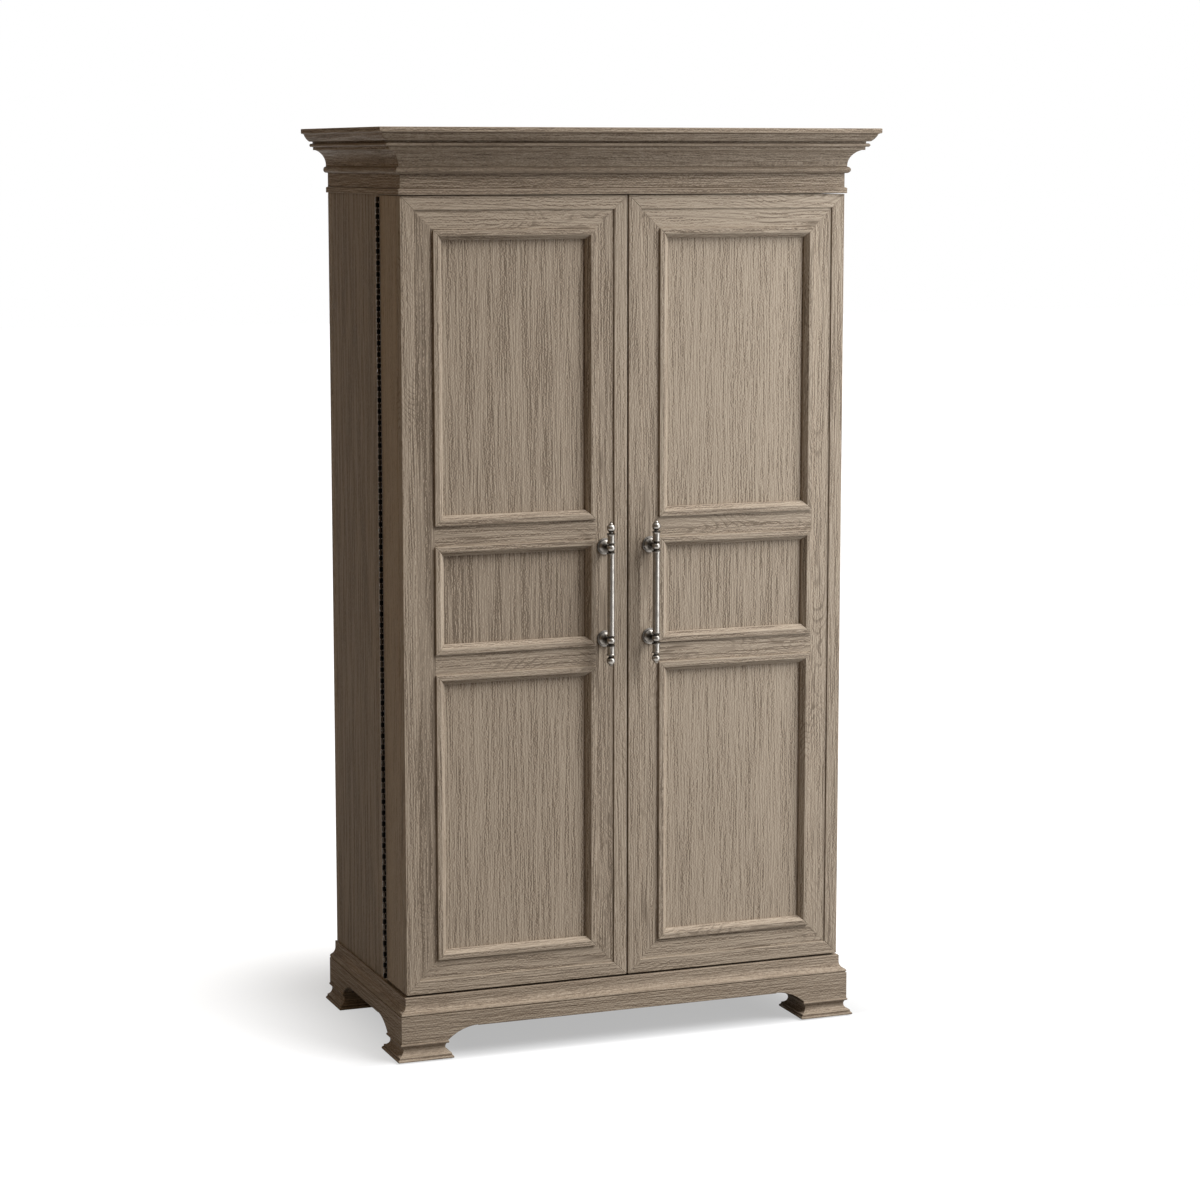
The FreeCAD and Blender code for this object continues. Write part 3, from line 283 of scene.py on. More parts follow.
def ease_edges(piece, width):
    """Round the sharp edges and mark the new faces: 1 on outer edges, -1 in inner corners."""
    bevel_sharp(piece, width, EASED_ANGLE, EASED_STEPS)
    narrow = face_widths(piece.data) < EASED_WIDEST * width
    rounded = read(piece.data.polygons, "select", kind=bool) & narrow
    # On the oak, outer edges are marked paler as wear and painted highlight, and inner corners darker as
    # painted shade
    wear_and_light = np.where(hollow_faces(piece.data), -1.0, 1.0) * rounded
    mark(piece.data, "edge_wear_and_painted_light", wear_and_light, domain="FACE")
    bpy.ops.object.shade_smooth_by_angle(angle=SMOOTH_ANGLE)
    weighting = piece.modifiers.new("even_normals", "WEIGHTED_NORMAL")
    weighting.keep_sharp = True
    weighting.weight = NORMAL_WEIGHT
    bpy.ops.object.modifier_apply(modifier=weighting.name)


def loose_parts(mesh):
    """Number of the separate board that each vertex belongs to."""
    first, second = read(mesh.edges, "vertices", 2, np.int32).T
    part = np.arange(len(mesh.vertices))
    while True:
        lowest = np.minimum(part[first], part[second])
        lower = part.copy()
        np.minimum.at(lower, first, lowest)
        np.minimum.at(lower, second, lowest)
        lower = lower[lower]
        if np.array_equal(lower, part):
            return np.unique(part, return_inverse=True)[1]
        part = lower


# Chance in where a board is cut: how far it differs across and below, along how long a tree, and in its tone
SAWING = random.Random(41)
ACROSS_SPREAD = 0.4
BELOW_SPREAD = 0.3
TREE_LENGTH = 9
TONE_SPREAD = 0.3

# Boards chosen darker (down to -1) or paler (up to 1), in the order of each piece's boards
# Most are the boards' own tones, but the frieze and the case's left side are darker as painted shade, and the
# boards at 1.0 in the right door's band and rails are paler as painted light at the door's top
BOARD_TONES_AND_PAINTED_LIGHT = {
    "frieze_front_oak": (-0.5,),
    "case_left_side_oak": (-1.0,),
    "left_door_side_walls_oak": (0.8, 0.0),
    "left_door_band_oak": (0.2, 0.8, 0.2, 0.6),
    "left_door_stiles_oak": (-1.0, -0.3),
    "left_door_rails_oak": (-0.1, 0.0, -0.2, 0.4),
    "left_door_panels_oak": (0.2, -0.7, -0.2),
    "right_door_band_oak": (0.2, 1.0, 0.0, 0.1),
    "right_door_stiles_oak": (0.3, 0.1),
    "right_door_rails_oak": (0.0, 0.0, 0.0, 1.0),
    "right_door_panels_oak": (0.4, 0.0, 0.5),
}
# How far a board's middle lies from the heart of its tree: across its width and below its face
FLAT_SAWN = (0.012, 0.055)
RIFT_SAWN = (0.420, 0.360)
# A face that looks this squarely to the side has its grain turned on a wrapped piece
SIDE_FACE = 0.7
# A face whose slope to the fibres is less than this shows end grain
END_GRAIN = 0.3


def lay_grain(piece, fibres=None, sawn=FLAT_SAWN, wrapped=False):
    """Give every board of a piece its own place in a tree: fibres first, then width, then thickness."""
    mesh = piece.data
    corners = read(mesh.loops, "vertex_index", kind=np.int32)
    points = read(mesh.vertices, "co", 3)[corners]
    part = loose_parts(mesh)[corners]
    facing = read(mesh.polygons, "normal", 3)[face_corners(mesh)[0]]
    place, skin = np.zeros_like(points), np.zeros_like(points)
    tone_and_painted_light = np.zeros(len(points), np.float32)
    chosen = BOARD_TONES_AND_PAINTED_LIGHT.get(piece.name)
    for number in range(part.max() + 1):
        mine = part == number
        low, high = points[mine].min(0), points[mine].max(0)
        order = np.argsort(high - low)[::-1]
        if fibres is not None:
            order = np.array([fibres] + [axis for axis in order if axis != fibres])
        across = sawn[0] * (1 + SAWING.uniform(-ACROSS_SPREAD, ACROSS_SPREAD))
        below = sawn[1] * (1 + SAWING.uniform(-BELOW_SPREAD, BELOW_SPREAD))
        shift = np.array([SAWING.uniform(0, TREE_LENGTH), across, below]) - ((low + high) / 2)[order]
        board = points[mine][:, order] + shift
        runs = np.tile(np.eye(3)[order[0]], (len(board), 1))
        if wrapped:
            turned = np.abs(facing[mine][:, 0]) > SIDE_FACE
            swapped = board[:, [order.tolist().index(axis) for axis in (ALONG_Y, ALONG_X, ALONG_Z)]]
            board[turned] = swapped[turned]
            runs[turned] = np.eye(3)[ALONG_Y]
        sideways = np.cross(facing[mine], runs)
        slope = np.linalg.norm(sideways, axis=1)
        girth = (points[mine] * sideways).sum(1) / np.maximum(slope, END_GRAIN)
        place[mine] = board
        skin[mine, 0] = board[:, 0]
        skin[mine, 1] = np.where(slope > END_GRAIN, girth, board[:, 1])
        drawn = TONE_SPREAD * SAWING.uniform(-1, 1)
        tone_and_painted_light[mine] = chosen[number] if chosen else drawn
    mark(mesh, "timber", place, "FLOAT_VECTOR", "CORNER")
    mark(mesh, "skin", skin, "FLOAT_VECTOR", "CORNER")
    mark(mesh, "tone_and_painted_light", tone_and_painted_light, domain="CORNER")


def stand_for(piece, body, slot, *nodes):
    """Let a piece ride on a body in place of its CAD nodes; the slot is not used."""
    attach(piece, body)
    if nodes:
        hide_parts(*nodes)
    return piece


def dress(node, name, finish, slot, ease):
    """Eased piece with its finish in place of a CAD node, on the body that the node moves with."""
    piece = copy_node(node, name)
    ease_edges(piece, ease)
    piece.data.materials.append(MATERIALS[finish])
    return stand_for(piece, frame["nodes"][node]["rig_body"], slot, node)


def dress_wood(node, finish, fibres=None, sawn=FLAT_SAWN, wrapped=False, slot="oak", flush=False):
    """Eased and grained piece of oak; boards glued flush keep crisp edges."""
    settings = bpy.context.scene.cabinet_oak
    edge = settings.flush_edge if flush else settings.eased_edge
    lay_grain(dress(node, f"{node}_oak", finish, slot, edge), fibres, sawn, wrapped)


# Easing of metal and plastic edges, and of the thin hinge pins
METAL_EDGE = 0.3 * MM
PIN_EDGE = 0.2 * MM


def dress_metal(node, finish, slot, ease=METAL_EDGE):
    """Eased piece of metal or plastic."""
    return dress(node, f"{node}_finished", finish, slot, ease)


def cut_at(piece, heights):
    """Add a loop of edges round a piece at each height."""
    take(piece)
    bpy.ops.object.mode_set(mode="EDIT")
    for height in heights:
        bpy.ops.mesh.select_all(action="SELECT")
        bpy.ops.mesh.bisect(plane_co=(0.0, 0.0, height), plane_no=(0.0, 0.0, 1.0))
    bpy.ops.object.mode_set(mode="OBJECT")


# A turned piece counts as full from this share of its radius, and as a groove or neck below that one
FULL_SHARE = 0.95
GROOVE_SHARE = 0.72
# How far tarnish reaches from a groove
TARNISH_REACH = 3 * MM
# Where a rosette's dish begins and how soon it is deep, as shares of its radius, and its darkest tarnish
DISH_RIM = 0.80
DISH_SLOPE = 0.35
DISH_TARNISH = 0.9


def mark_recesses(piece):
    """Mark a turned piece's grooves, necks and what is near them along its axis, where tarnish gathers."""
    points = read(piece.data.vertices, "co", 3)
    middle = (points.min(0) + points.max(0)) / 2
    radius = np.hypot(points[:, 0] - middle[0], points[:, 1] - middle[1])
    heights = points[:, 2]
    full = heights[radius > FULL_SHARE * radius.max()]
    slender = (radius < GROOVE_SHARE * radius.max()) & (heights > full.min()) & (heights < full.max())
    grooves = np.unique(np.round(heights[slender], 4))
    cut_at(piece, [z + way * TARNISH_REACH for z in grooves for way in (-1, 1)])
    heights = read(piece.data.vertices, "co", 3)[:, 2]
    distance = np.abs(heights[:, None] - grooves[None, :]).min(1)
    mark(piece.data, "tarnish_and_shade", np.clip(1 - distance / TARNISH_REACH, 0, 1))


def mark_dishes(piece):
    """Mark the dished middles of turned rosettes, from their rims in to their posts."""
    points = read(piece.data.vertices, "co", 3)
    part = loose_parts(piece.data)
    tarnish_and_shade = np.zeros(len(points), np.float32)
    for number in range(part.max() + 1):
        mine = points[part == number]
        middle = (mine.min(0) + mine.max(0)) / 2
        radius = np.hypot(mine[:, 0] - middle[0], mine[:, 2] - middle[2])
        tarnish_and_shade[part == number] = np.clip((DISH_RIM - radius / radius.max()) / DISH_SLOPE, 0, DISH_TARNISH)
    mark(piece.data, "tarnish_and_shade", tarnish_and_shade)


# Materials


class Tree:
    """Short way to add and join shader nodes."""

    def __init__(self, tree):
        self.tree = tree

    def add(self, kind, **settings):
        """New node with its settings."""
        node = self.tree.nodes.new(kind)
        for key, setting in settings.items():
            setattr(node, key, setting)
        return node

    def feed(self, socket, source):
        """Link a socket to another one, or set it to a plain value."""
        if isinstance(source, bpy.types.NodeSocket):
            self.tree.links.new(source, socket)
        elif source is not None:
            socket.default_value = source

    def fill(self, node, **sources):
        """Feed a node's inputs by name, with _ for a space, and give its outputs."""
        for label, source in sources.items():
            self.feed(node.inputs[label.replace("_", " ")], source)
        return node.outputs

    def math(self, operation, first, second=None, third=None, clamp=False):
        """Result of a calculation with numbers."""
        node = self.add("ShaderNodeMath", operation=operation, use_clamp=clamp)
        for socket, source in zip(node.inputs, (first, second, third)):
            self.feed(socket, source)
        return node.outputs[0]

    def vector(self, operation, first, second=None):
        """Result of a calculation with vectors."""
        node = self.add("ShaderNodeVectorMath", operation=operation)
        self.feed(node.inputs[0], first)
        self.feed(node.inputs[1], second)
        return node.outputs["Value" if operation == "LENGTH" else "Vector"]

    def noise(self, place, spots=None, detail=2.0, roughness=0.5, dimensions="3D"):
        """Soft noise, with so many spots to the metre along each axis if they are given."""
        node = self.add("ShaderNodeTexNoise", noise_dimensions=dimensions)
        if spots:
            place = self.vector("MULTIPLY", place, spots)
        return self.fill(node, Vector=place, Scale=1.0, Detail=detail, Roughness=roughness)["Fac"]

    def remap(self, source, low, high, to_low=0.0, to_high=1.0):
        """Smooth step from one range of values to another."""
        node = self.add("ShaderNodeMapRange", interpolation_type="SMOOTHSTEP")
        self.fill(node, Value=source, From_Min=low, From_Max=high, To_Min=to_low, To_Max=to_high)
        return node.outputs["Result"]

    def mix(self, factor, first, second):
        """Colour between two others."""
        node = self.add("ShaderNodeMix", data_type="RGBA")
        self.feed(node.inputs[0], factor)
        self.feed(node.inputs[6], first)
        self.feed(node.inputs[7], second)
        return node.outputs[2]


def new_group(name, inputs, outputs):
    """Empty node group with its sockets, and the nodes that hold them."""
    group = bpy.data.node_groups.new(name, "ShaderNodeTree")
    for in_out, sockets in (("INPUT", inputs), ("OUTPUT", outputs)):
        for label, kind in sockets:
            group.interface.new_socket(name=label, in_out=in_out, socket_type=f"NodeSocket{kind}")
    tree = Tree(group)
    return tree, tree.add("NodeGroupInput").outputs, tree.add("NodeGroupOutput").inputs


# Spots of noise to the metre along the fibres, across them and into the wood
WAVER = (1.4, 6.0, 6.0)
SWIRL = (6.0, 13.0, 13.0)
KNOTS = (1.3, 3.0, 3.0)
WEATHER = (3.0, 30.0, 30.0)
STREAKS = (4.0, 130.0, 130.0)
DRIFT = (1.1, 15.0, 15.0)
# The same for fine grain on a face; pores are mirrored, so that they don't repeat the fibres
FIBRES = (12.0, 290.0, 1.0)
FLECKS = (70.0, 310.0, 1.0)
GRIT = (230.0, 320.0, 1.0)
PORES = (28.0, -330.0, 1.0)
# About how wide a line of fine grain is, in spots of its noise, and how strongly the lines show
LINE_STEP = 0.8
LINE_STRENGTH = 0.7
# How far rings wave, lean in each metre of the tree and swirl round knots, in metres
WAVER_DEPTH = 0.03
LEAN = 0.012
KNOT_DEPTH = 0.10
# Where in a year the dark spring wood has come and where it fades, as shares of a ring
SPRING_COMES = (0.0, 0.14)
SPRING_FADES = (0.46, 0.18)
# How steeply and about which middle the fine grain goes from glaze to pale wood
GRAIN_GAIN = 2.1
GRAIN_MIDDLE = 0.52
# Sockets that a figure or wear gives to its material
SURFACE = [("Color", "Color"), ("Roughness", "Float"), ("Height", "Float")]


def fine(tree, skin, spots):
    """Fine lines over a face: noise less the noise a step to the side, which leaves out broad patches."""
    here = tree.vector("MULTIPLY", skin, spots)
    beside = tree.vector("ADD", here, (0.0, LINE_STEP, 0.0))
    first, second = (tree.noise(place, detail=0.0, dimensions="2D") for place in (here, beside))
    return tree.math("MULTIPLY_ADD", tree.math("SUBTRACT", first, second), LINE_STRENGTH, 0.5)


def growth_rings(tree, place, ring_width):
    """Dark spring wood in each year's ring, bent by slow waves and round knots."""
    parts = tree.add("ShaderNodeSeparateXYZ")
    tree.feed(parts.inputs[0], place)
    along, across, below = parts.outputs
    squares = tree.math("MULTIPLY_ADD", across, across, tree.math("MULTIPLY", below, below))
    knots = tree.remap(tree.noise(place, KNOTS, detail=1.0), 0.45, 0.62)
    swirl = tree.math("MULTIPLY", tree.noise(place, SWIRL), knots)
    lean = tree.math("MULTIPLY", along, LEAN)
    bulge = tree.math("MULTIPLY_ADD", tree.noise(place, WAVER), WAVER_DEPTH, lean)
    bulge = tree.math("MULTIPLY_ADD", swirl, KNOT_DEPTH, bulge)
    years = tree.math("DIVIDE", tree.math("ADD", tree.math("SQRT", squares), bulge), ring_width)
    season = tree.math("FRACT", years)
    spring = tree.math("MULTIPLY", tree.remap(season, *SPRING_COMES), tree.remap(season, *SPRING_FADES))
    weather = tree.remap(tree.noise(place, WEATHER, detail=1.0), 0.30, 0.62)
    return tree.math("MULTIPLY", spring, weather)


def timber_figure():
    """Figure of brushed oak: growth rings, open pores, fibres and slow changes of tone."""
    numbers = ("Tone", "Rub", "Ring Width", "Rings", "Contrast", "Wash")
    tree, given, out = new_group(
        "timber_figure",
        [("Place", "Vector"), ("Skin", "Vector"), *((label, "Float") for label in numbers),
         ("Pale", "Color"), ("Mellow", "Color"), ("Glaze", "Color")],
        SURFACE,
    )
    place, skin = given["Place"], given["Skin"]

    # Most of the noise lies about its middle, 0.5, so that range is spread out
    spring = tree.math("MULTIPLY", growth_rings(tree, place, given["Ring Width"]), given["Rings"])
    lines = [fine(tree, skin, spots) for spots in (FIBRES, FLECKS, GRIT)]
    fibres, flecks, grit = (tree.remap(line, 0.30, 0.70) for line in lines)
    streaks = tree.remap(tree.noise(place, STREAKS), 0.30, 0.70)
    drift = tree.remap(tree.noise(place, DRIFT), 0.32, 0.68)
    pores = tree.remap(fine(tree, skin, PORES), 0.60, 0.74)
    pores = tree.math("MULTIPLY", pores, tree.math("MULTIPLY_ADD", spring, 0.5, 0.6))
    pores = tree.math("MULTIPLY", pores, given["Contrast"])

    # What lightens the wood, each by its share; the tone also carries painted light and shade on some boards
    light = 0.0
    for source, share in (
        (flecks, 0.26), (fibres, 0.35), (grit, 0.30), (streaks, 0.05), (drift, 0.04), (given["Tone"], 0.20),
    ):
        light = tree.math("MULTIPLY_ADD", source, share, light)
    light = tree.math("MULTIPLY", tree.math("SUBTRACT", light, 0.5), given["Contrast"])
    light = tree.math("MULTIPLY_ADD", light, GRAIN_GAIN, GRAIN_MIDDLE, clamp=True)
    colour = tree.mix(tree.math("MULTIPLY", light, 2.0, clamp=True), given["Glaze"], given["Mellow"])
    colour = tree.mix(tree.math("MULTIPLY_ADD", light, 2.0, -1.0, clamp=True), colour, given["Pale"])

    # Glaze in spring wood and pores, a pale wash in streaks, outer edges paled as wear and painted highlight,
    # and inner corners darkened towards the glaze as painted shade
    wash = tree.remap(streaks, 0.2, 0.8, 0.25, 0.60)
    for source, share, towards in (
        (spring, 0.80, "Glaze"), (pores, 0.50, "Glaze"), (wash, given["Wash"], "Pale"),
        (given["Rub"], 0.45, "Pale"), (given["Rub"], -0.85, "Glaze"),
    ):
        colour = tree.mix(tree.math("MULTIPLY", source, share, clamp=True), colour, given[towards])
    tree.feed(out["Color"], colour)
    tree.feed(out["Roughness"], tree.math("MULTIPLY_ADD", fibres, -0.12, 0.68))

    # The brush leaves the fibres high and takes the spring wood and the pores down
    relief = tree.math("MULTIPLY_ADD", spring, -0.5, tree.math("MULTIPLY", fibres, 0.45))
    tree.feed(out["Height"], tree.math("MULTIPLY_ADD", pores, -0.6, relief))
    return tree.tree


def new_material(name):
    """Material with a Principled BSDF, ready for its own nodes."""
    material = bpy.data.materials.new(name)
    material.use_nodes = True
    tree = Tree(material.node_tree)
    return material, tree, material.node_tree.nodes["Principled BSDF"]


def attribute(tree, name, output="Fac"):
    """Output of an attribute that is stored in the mesh."""
    return tree.add("ShaderNodeAttribute", attribute_type="GEOMETRY", attribute_name=name).outputs[output]


def bump(tree, surface, height, distance, strength):
    """Relief on a surface, from a height between 0 and 1."""
    made = tree.fill(tree.add("ShaderNodeBump"), Distance=distance, Strength=strength, Height=height)
    tree.fill(surface, Normal=made["Normal"])


def opaque(colour):
    """Colour with full alpha."""
    return (*colour, 1.0)


# Gloss and depth of the brushed oak
OAK_SPECULAR = 0.05
OAK_RELIEF = 0.7 * MM


def oak_material(name, figure, rings, contrast=1.0, wash=1.0):
    """Brushed oak that reads each board's own place in its tree."""
    settings = bpy.context.scene.cabinet_oak
    material, tree, surface = new_material(name)
    made = tree.fill(
        tree.add("ShaderNodeGroup", node_tree=figure),
        Place=attribute(tree, "timber", "Vector"),
        Skin=attribute(tree, "skin", "Vector"),
        Tone=attribute(tree, "tone_and_painted_light"),
        Rub=attribute(tree, "edge_wear_and_painted_light"),
        Ring_Width=settings.ring_width,
        Rings=rings,
        Contrast=contrast,
        Wash=wash,
        Pale=opaque(settings.pale),
        Mellow=opaque(settings.mellow),
        Glaze=opaque(settings.glaze),
    )
    tree.fill(surface, Base_Color=made["Color"], Roughness=made["Roughness"], Specular_IOR_Level=OAK_SPECULAR)
    bump(tree, surface, made["Height"], OAK_RELIEF, 0.5)
    return material


# Spots of noise to the metre on metal and plastic
PATCHES = (110.0, 110.0, 60.0)
SCRATCHES = (2200.0, 2200.0, 160.0)
SPARKS = (1400.0, 1400.0, 1400.0)
HAZE = (40.0, 40.0, 40.0)
# Depth of the dents in metal and of the texture of plastic
METAL_RELIEF = 0.06 * MM
PLASTIC_RELIEF = 0.08 * MM
# Tarnish of the hinges, as a share of their colour; the case leaves take it all over as painted shade
HINGE_TARNISH = 0.1
CATCH_BROWN = (0.05, 0.035, 0.025)
GLIDE_BROWN = (0.03, 0.025, 0.02)


def metal_wear():
    """Rubbed metal: tarnish in soft patches and hollows, painted shade where a piece is marked dark all over,
    fine scratches and a mottled gloss.
    """
    tree, given, out = new_group(
        "metal_wear",
        [("Place", "Vector"), ("Bright", "Color"), ("Tarnish", "Color"),
         ("Rub", "Float"), ("Recess", "Float")],
        SURFACE,
    )
    patches = tree.noise(given["Place"], PATCHES, detail=4.0, roughness=0.6)
    scratches = tree.noise(given["Place"], SCRATCHES)
    # Darker with tarnish in patches and in the marked hollows, and with painted shade on the hinges' case
    # leaves; edges marked as worn lose tarnish
    dark = tree.math("ADD", tree.remap(patches, 0.40, 0.70, 0.0, 0.35), given["Recess"])
    dark = tree.math("MULTIPLY_ADD", given["Rub"], -0.45, dark, clamp=True)
    tree.feed(out["Color"], tree.mix(dark, given["Bright"], given["Tarnish"]))
    gloss = tree.math("MULTIPLY_ADD", dark, 0.22, tree.remap(scratches, 0.3, 0.7, 0.25, 0.31))
    tree.feed(out["Roughness"], gloss)
    tree.feed(out["Height"], tree.math("MULTIPLY_ADD", patches, 0.6, scratches))
    return tree.tree


def metal_material(name, wear, bright, tarnish):
    """Metal whose wear follows its place on the piece."""
    material, tree, surface = new_material(name)
    place = tree.add("ShaderNodeTexCoord").outputs["Object"]
    made = tree.fill(
        tree.add("ShaderNodeGroup", node_tree=wear),
        Place=place,
        Bright=opaque(bright),
        Tarnish=opaque(tarnish),
        Rub=attribute(tree, "edge_wear_and_painted_light"),
        Recess=attribute(tree, "tarnish_and_shade"),
    )
    tree.fill(surface, Base_Color=made["Color"], Roughness=made["Roughness"], Metallic=1.0)
    bump(tree, surface, made["Height"], METAL_RELIEF, 0.15)
    return material


def plastic_material(name, colour):
    """Moulded plastic with a fine spark texture."""
    material, tree, surface = new_material(name)
    place = tree.add("ShaderNodeTexCoord").outputs["Object"]
    grit = tree.noise(place, SPARKS)
    haze = tree.remap(tree.noise(place, HAZE, detail=3.0), 0.3, 0.7, 0.0, 0.5)
    paler = [min(1.0, part * 1.5 + 0.01) for part in colour]
    mottled = tree.mix(haze, opaque(colour), opaque(paler))
    tree.fill(surface, Base_Color=mottled, Roughness=tree.remap(grit, 0.3, 0.7, 0.42, 0.6))
    bump(tree, surface, grit, PLASTIC_RELIEF, 0.4)
    return material


class CABINET_OT_finishes(bpy.types.Operator):
    """Make the oak, metal and plastic finishes"""

    bl_idname = "cabinet.finishes"
    bl_label = "Finishes"

    def execute(self, context):
        figure = timber_figure()
        wear = metal_wear()
        metal = context.scene.cabinet_metal
        MATERIALS["oak"] = oak_material("brushed_oak", figure, rings=1.0)
        MATERIALS["moulding"] = oak_material("moulded_oak", figure, rings=0.4, contrast=0.55, wash=0.35)
        MATERIALS["veneer"] = oak_material("rift_oak_veneer", figure, rings=0.12)
        MATERIALS["pewter"] = metal_material("aged_pewter", wear, metal.pewter, metal.pewter_tarnish)
        MATERIALS["rail"] = metal_material("dull_pewter", wear, metal.rail, metal.pewter_tarnish)
        hinge_tarnish = [part * HINGE_TARNISH for part in metal.hinge]
        MATERIALS["hinge"] = metal_material("hinge_bronze", wear, metal.hinge, hinge_tarnish)
        MATERIALS["catch"] = plastic_material("catch_brown", CATCH_BROWN)
        MATERIALS["glide"] = plastic_material("glide_brown", GLIDE_BROWN)
        return {"FINISHED"}


# Pieces


class CABINET_OT_crown(bpy.types.Operator):
    """Grain and ease the crown moulding, the frieze and the boards inside them"""

    bl_idname = "cabinet.crown"
    bl_label = "Crown"

    def execute(self, context):
        for part in ("crown_moulding", "frieze"):
            dress_wood(f"{part}_front", "moulding", ALONG_X)
            for hand in HANDS:
                dress_wood(f"{part}_{hand}", "moulding", ALONG_Y)
        for node in ("crown_soffit", "crown_top_panel", "crown_back_board"):
            dress_wood(node, "veneer", ALONG_X, RIFT_SAWN)
        return {"FINISHED"}


class CABINET_OT_base(bpy.types.Operator):
    """Grain and ease the cap moulding, rails, feet and blocks"""

    bl_idname = "cabinet.base"
    bl_label = "Base"

    def execute(self, context):
        for node in ("base_cap", "base_front_rail", "base_left_rail", "base_right_rail", "base_back_rail"):
            dress_wood(node, "moulding")
        dress_wood("foot_blocks", "moulding", ALONG_X, wrapped=True)
        dress_wood("corner_blocks", "oak", ALONG_Z)
        dress_wood("base_deck", "veneer", ALONG_X, RIFT_SAWN)
        dress_metal("floor_glides", "glide", "glide_plastic")
        return {"FINISHED"}


class CABINET_OT_case(bpy.types.Operator):
    """Grain and ease the case, its shelves and its stemware rails"""

    bl_idname = "cabinet.case"
    bl_label = "Case"

    def execute(self, context):
        for node in ("case_left_side", "case_right_side", "case_back_panel", "lower_divider"):
            dress_wood(node, "veneer", ALONG_Z, RIFT_SAWN, slot="oak_panel")
        dress_wood("case_edging", "oak", ALONG_Z)
        for node in ("case_top", "case_bottom", "serving_counter", "upper_shelves", "lower_shelves"):
            dress_wood(node, "oak", ALONG_X)
        dress_wood("stemware_rails", "oak", ALONG_Y)
        return {"FINISHED"}


class CABINET_OT_doors(bpy.types.Operator):
    """Grain and ease the door faces and the boxes behind them"""

    bl_idname = "cabinet.doors"
    bl_label = "Doors"

    def execute(self, context):
        for hand in HANDS:
            dress_wood(f"{hand}_door_band", "oak")
            dress_wood(f"{hand}_door_stiles", "oak", ALONG_Z, flush=True)
            dress_wood(f"{hand}_door_rails", "oak", ALONG_X, flush=True)
            dress_wood(f"{hand}_door_panels", "veneer", ALONG_Z, RIFT_SAWN, slot="oak_panel")
            dress_wood(f"{hand}_panel_mouldings", "oak")
            dress_wood(f"{hand}_door_side_walls", "veneer", ALONG_Z, RIFT_SAWN)
            dress_wood(f"{hand}_door_end_walls", "oak", ALONG_X)
            dress_wood(f"{hand}_door_shelves", "oak", ALONG_X)
        return {"FINISHED"}


def add_block(low, high):
    """Cube primitive set to two corners."""
    middle = [(a + b) / 2 for a, b in zip(low, high)]
    bpy.ops.mesh.primitive_cube_add(size=1.0, location=middle)
    block = bpy.context.object
    block.scale = [abs(b - a) for a, b in zip(low, high)]
    bpy.ops.object.transform_apply()
    return block


# Sides of the hinges' knuckles, and of screw heads and studs
KNUCKLE_SIDES = 14
HEAD_SIDES = 12


def add_disc(place, radius, depth, sides, turn=(0.0, 0.0, 0.0)):
    """Cylinder primitive with its place in its mesh."""
    bpy.ops.mesh.primitive_cylinder_add(
        vertices=sides, radius=radius, depth=depth, location=place, rotation=turn)
    bpy.ops.object.transform_apply()
    return bpy.context.object


def repeat(obj, count, step, axis=ALONG_Z):
    """Row of copies along an axis, in one mesh."""
    take(obj)
    row = obj.modifiers.new("row", "ARRAY")
    row.count = count
    row.use_relative_offset = False
    row.use_constant_offset = True
    row.constant_offset_displace = [step if number == axis else 0.0 for number in range(3)]
    bpy.ops.object.modifier_apply(modifier=row.name)
    return obj


def join(name, finish, *objects):
    """Objects joined into one piece, its faces outwards, with its finish."""
    take(*objects)
    bpy.ops.object.join()
    piece = bpy.context.object
    piece.name = name
    piece.data.name = name
    bpy.ops.object.mode_set(mode="EDIT")
    bpy.ops.mesh.select_all(action="SELECT")
    bpy.ops.mesh.normals_make_consistent(inside=False)
    bpy.ops.object.mode_set(mode="OBJECT")
    bpy.ops.object.shade_smooth_by_angle(angle=SMOOTH_NEW_ANGLE)
    piece.data.materials.append(MATERIALS[finish])
    return piece


def select_faces(obj, wanted):
    """Go into edit mode with only those faces selected whose middle is wanted."""
    take(obj)
    bpy.ops.object.mode_set(mode="EDIT")
    bpy.ops.mesh.select_mode(type="FACE")
    bpy.ops.mesh.select_all(action="DESELECT")
    bpy.ops.object.mode_set(mode="OBJECT")
    for face in obj.data.polygons:
        face.select = wanted(face.center)
    bpy.ops.object.mode_set(mode="EDIT")


# A driver's recess: its rim and slope as shares of the head's radius, its depth in heights of the head
DRIVER_RIM = 0.30
DRIVER_SLOPE = 0.28
DRIVER_DEPTH = 1.6


def screw_head(place, radius, rise):
    """Countersunk screw head that faces along Y, with a driver recess."""
    head = add_disc(place, radius, 2 * abs(rise), HEAD_SIDES, FACING_FRONT)
    front = place[1] + rise
    select_faces(head, lambda middle: abs(middle[1] - front) < SAME_POINT)
    bpy.ops.mesh.inset(thickness=radius * DRIVER_RIM)
    bpy.ops.mesh.inset(thickness=radius * DRIVER_SLOPE)
    bpy.ops.mesh.extrude_region_move(TRANSFORM_OT_translate={"value": (0.0, -DRIVER_DEPTH * rise, 0.0)})
    bpy.ops.object.mode_set(mode="OBJECT")
    return head


def stud(place, turn, radius, rise, rim, dish):
    """Round stud that stands out of a face, its middle dished in, or raised by a dish below zero."""
    head = add_disc((0.0, 0.0, 0.0), radius, 2 * rise, HEAD_SIDES)
    select_faces(head, lambda middle: middle[2] > rise / 2)
    bpy.ops.mesh.inset(thickness=rim)
    bpy.ops.mesh.extrude_region_move(TRANSFORM_OT_translate={"value": (0.0, 0.0, -dish)})
    bpy.ops.object.mode_set(mode="OBJECT")
    head.rotation_euler = turn
    head.location = place
    take(head)
    bpy.ops.object.transform_apply()
    return head


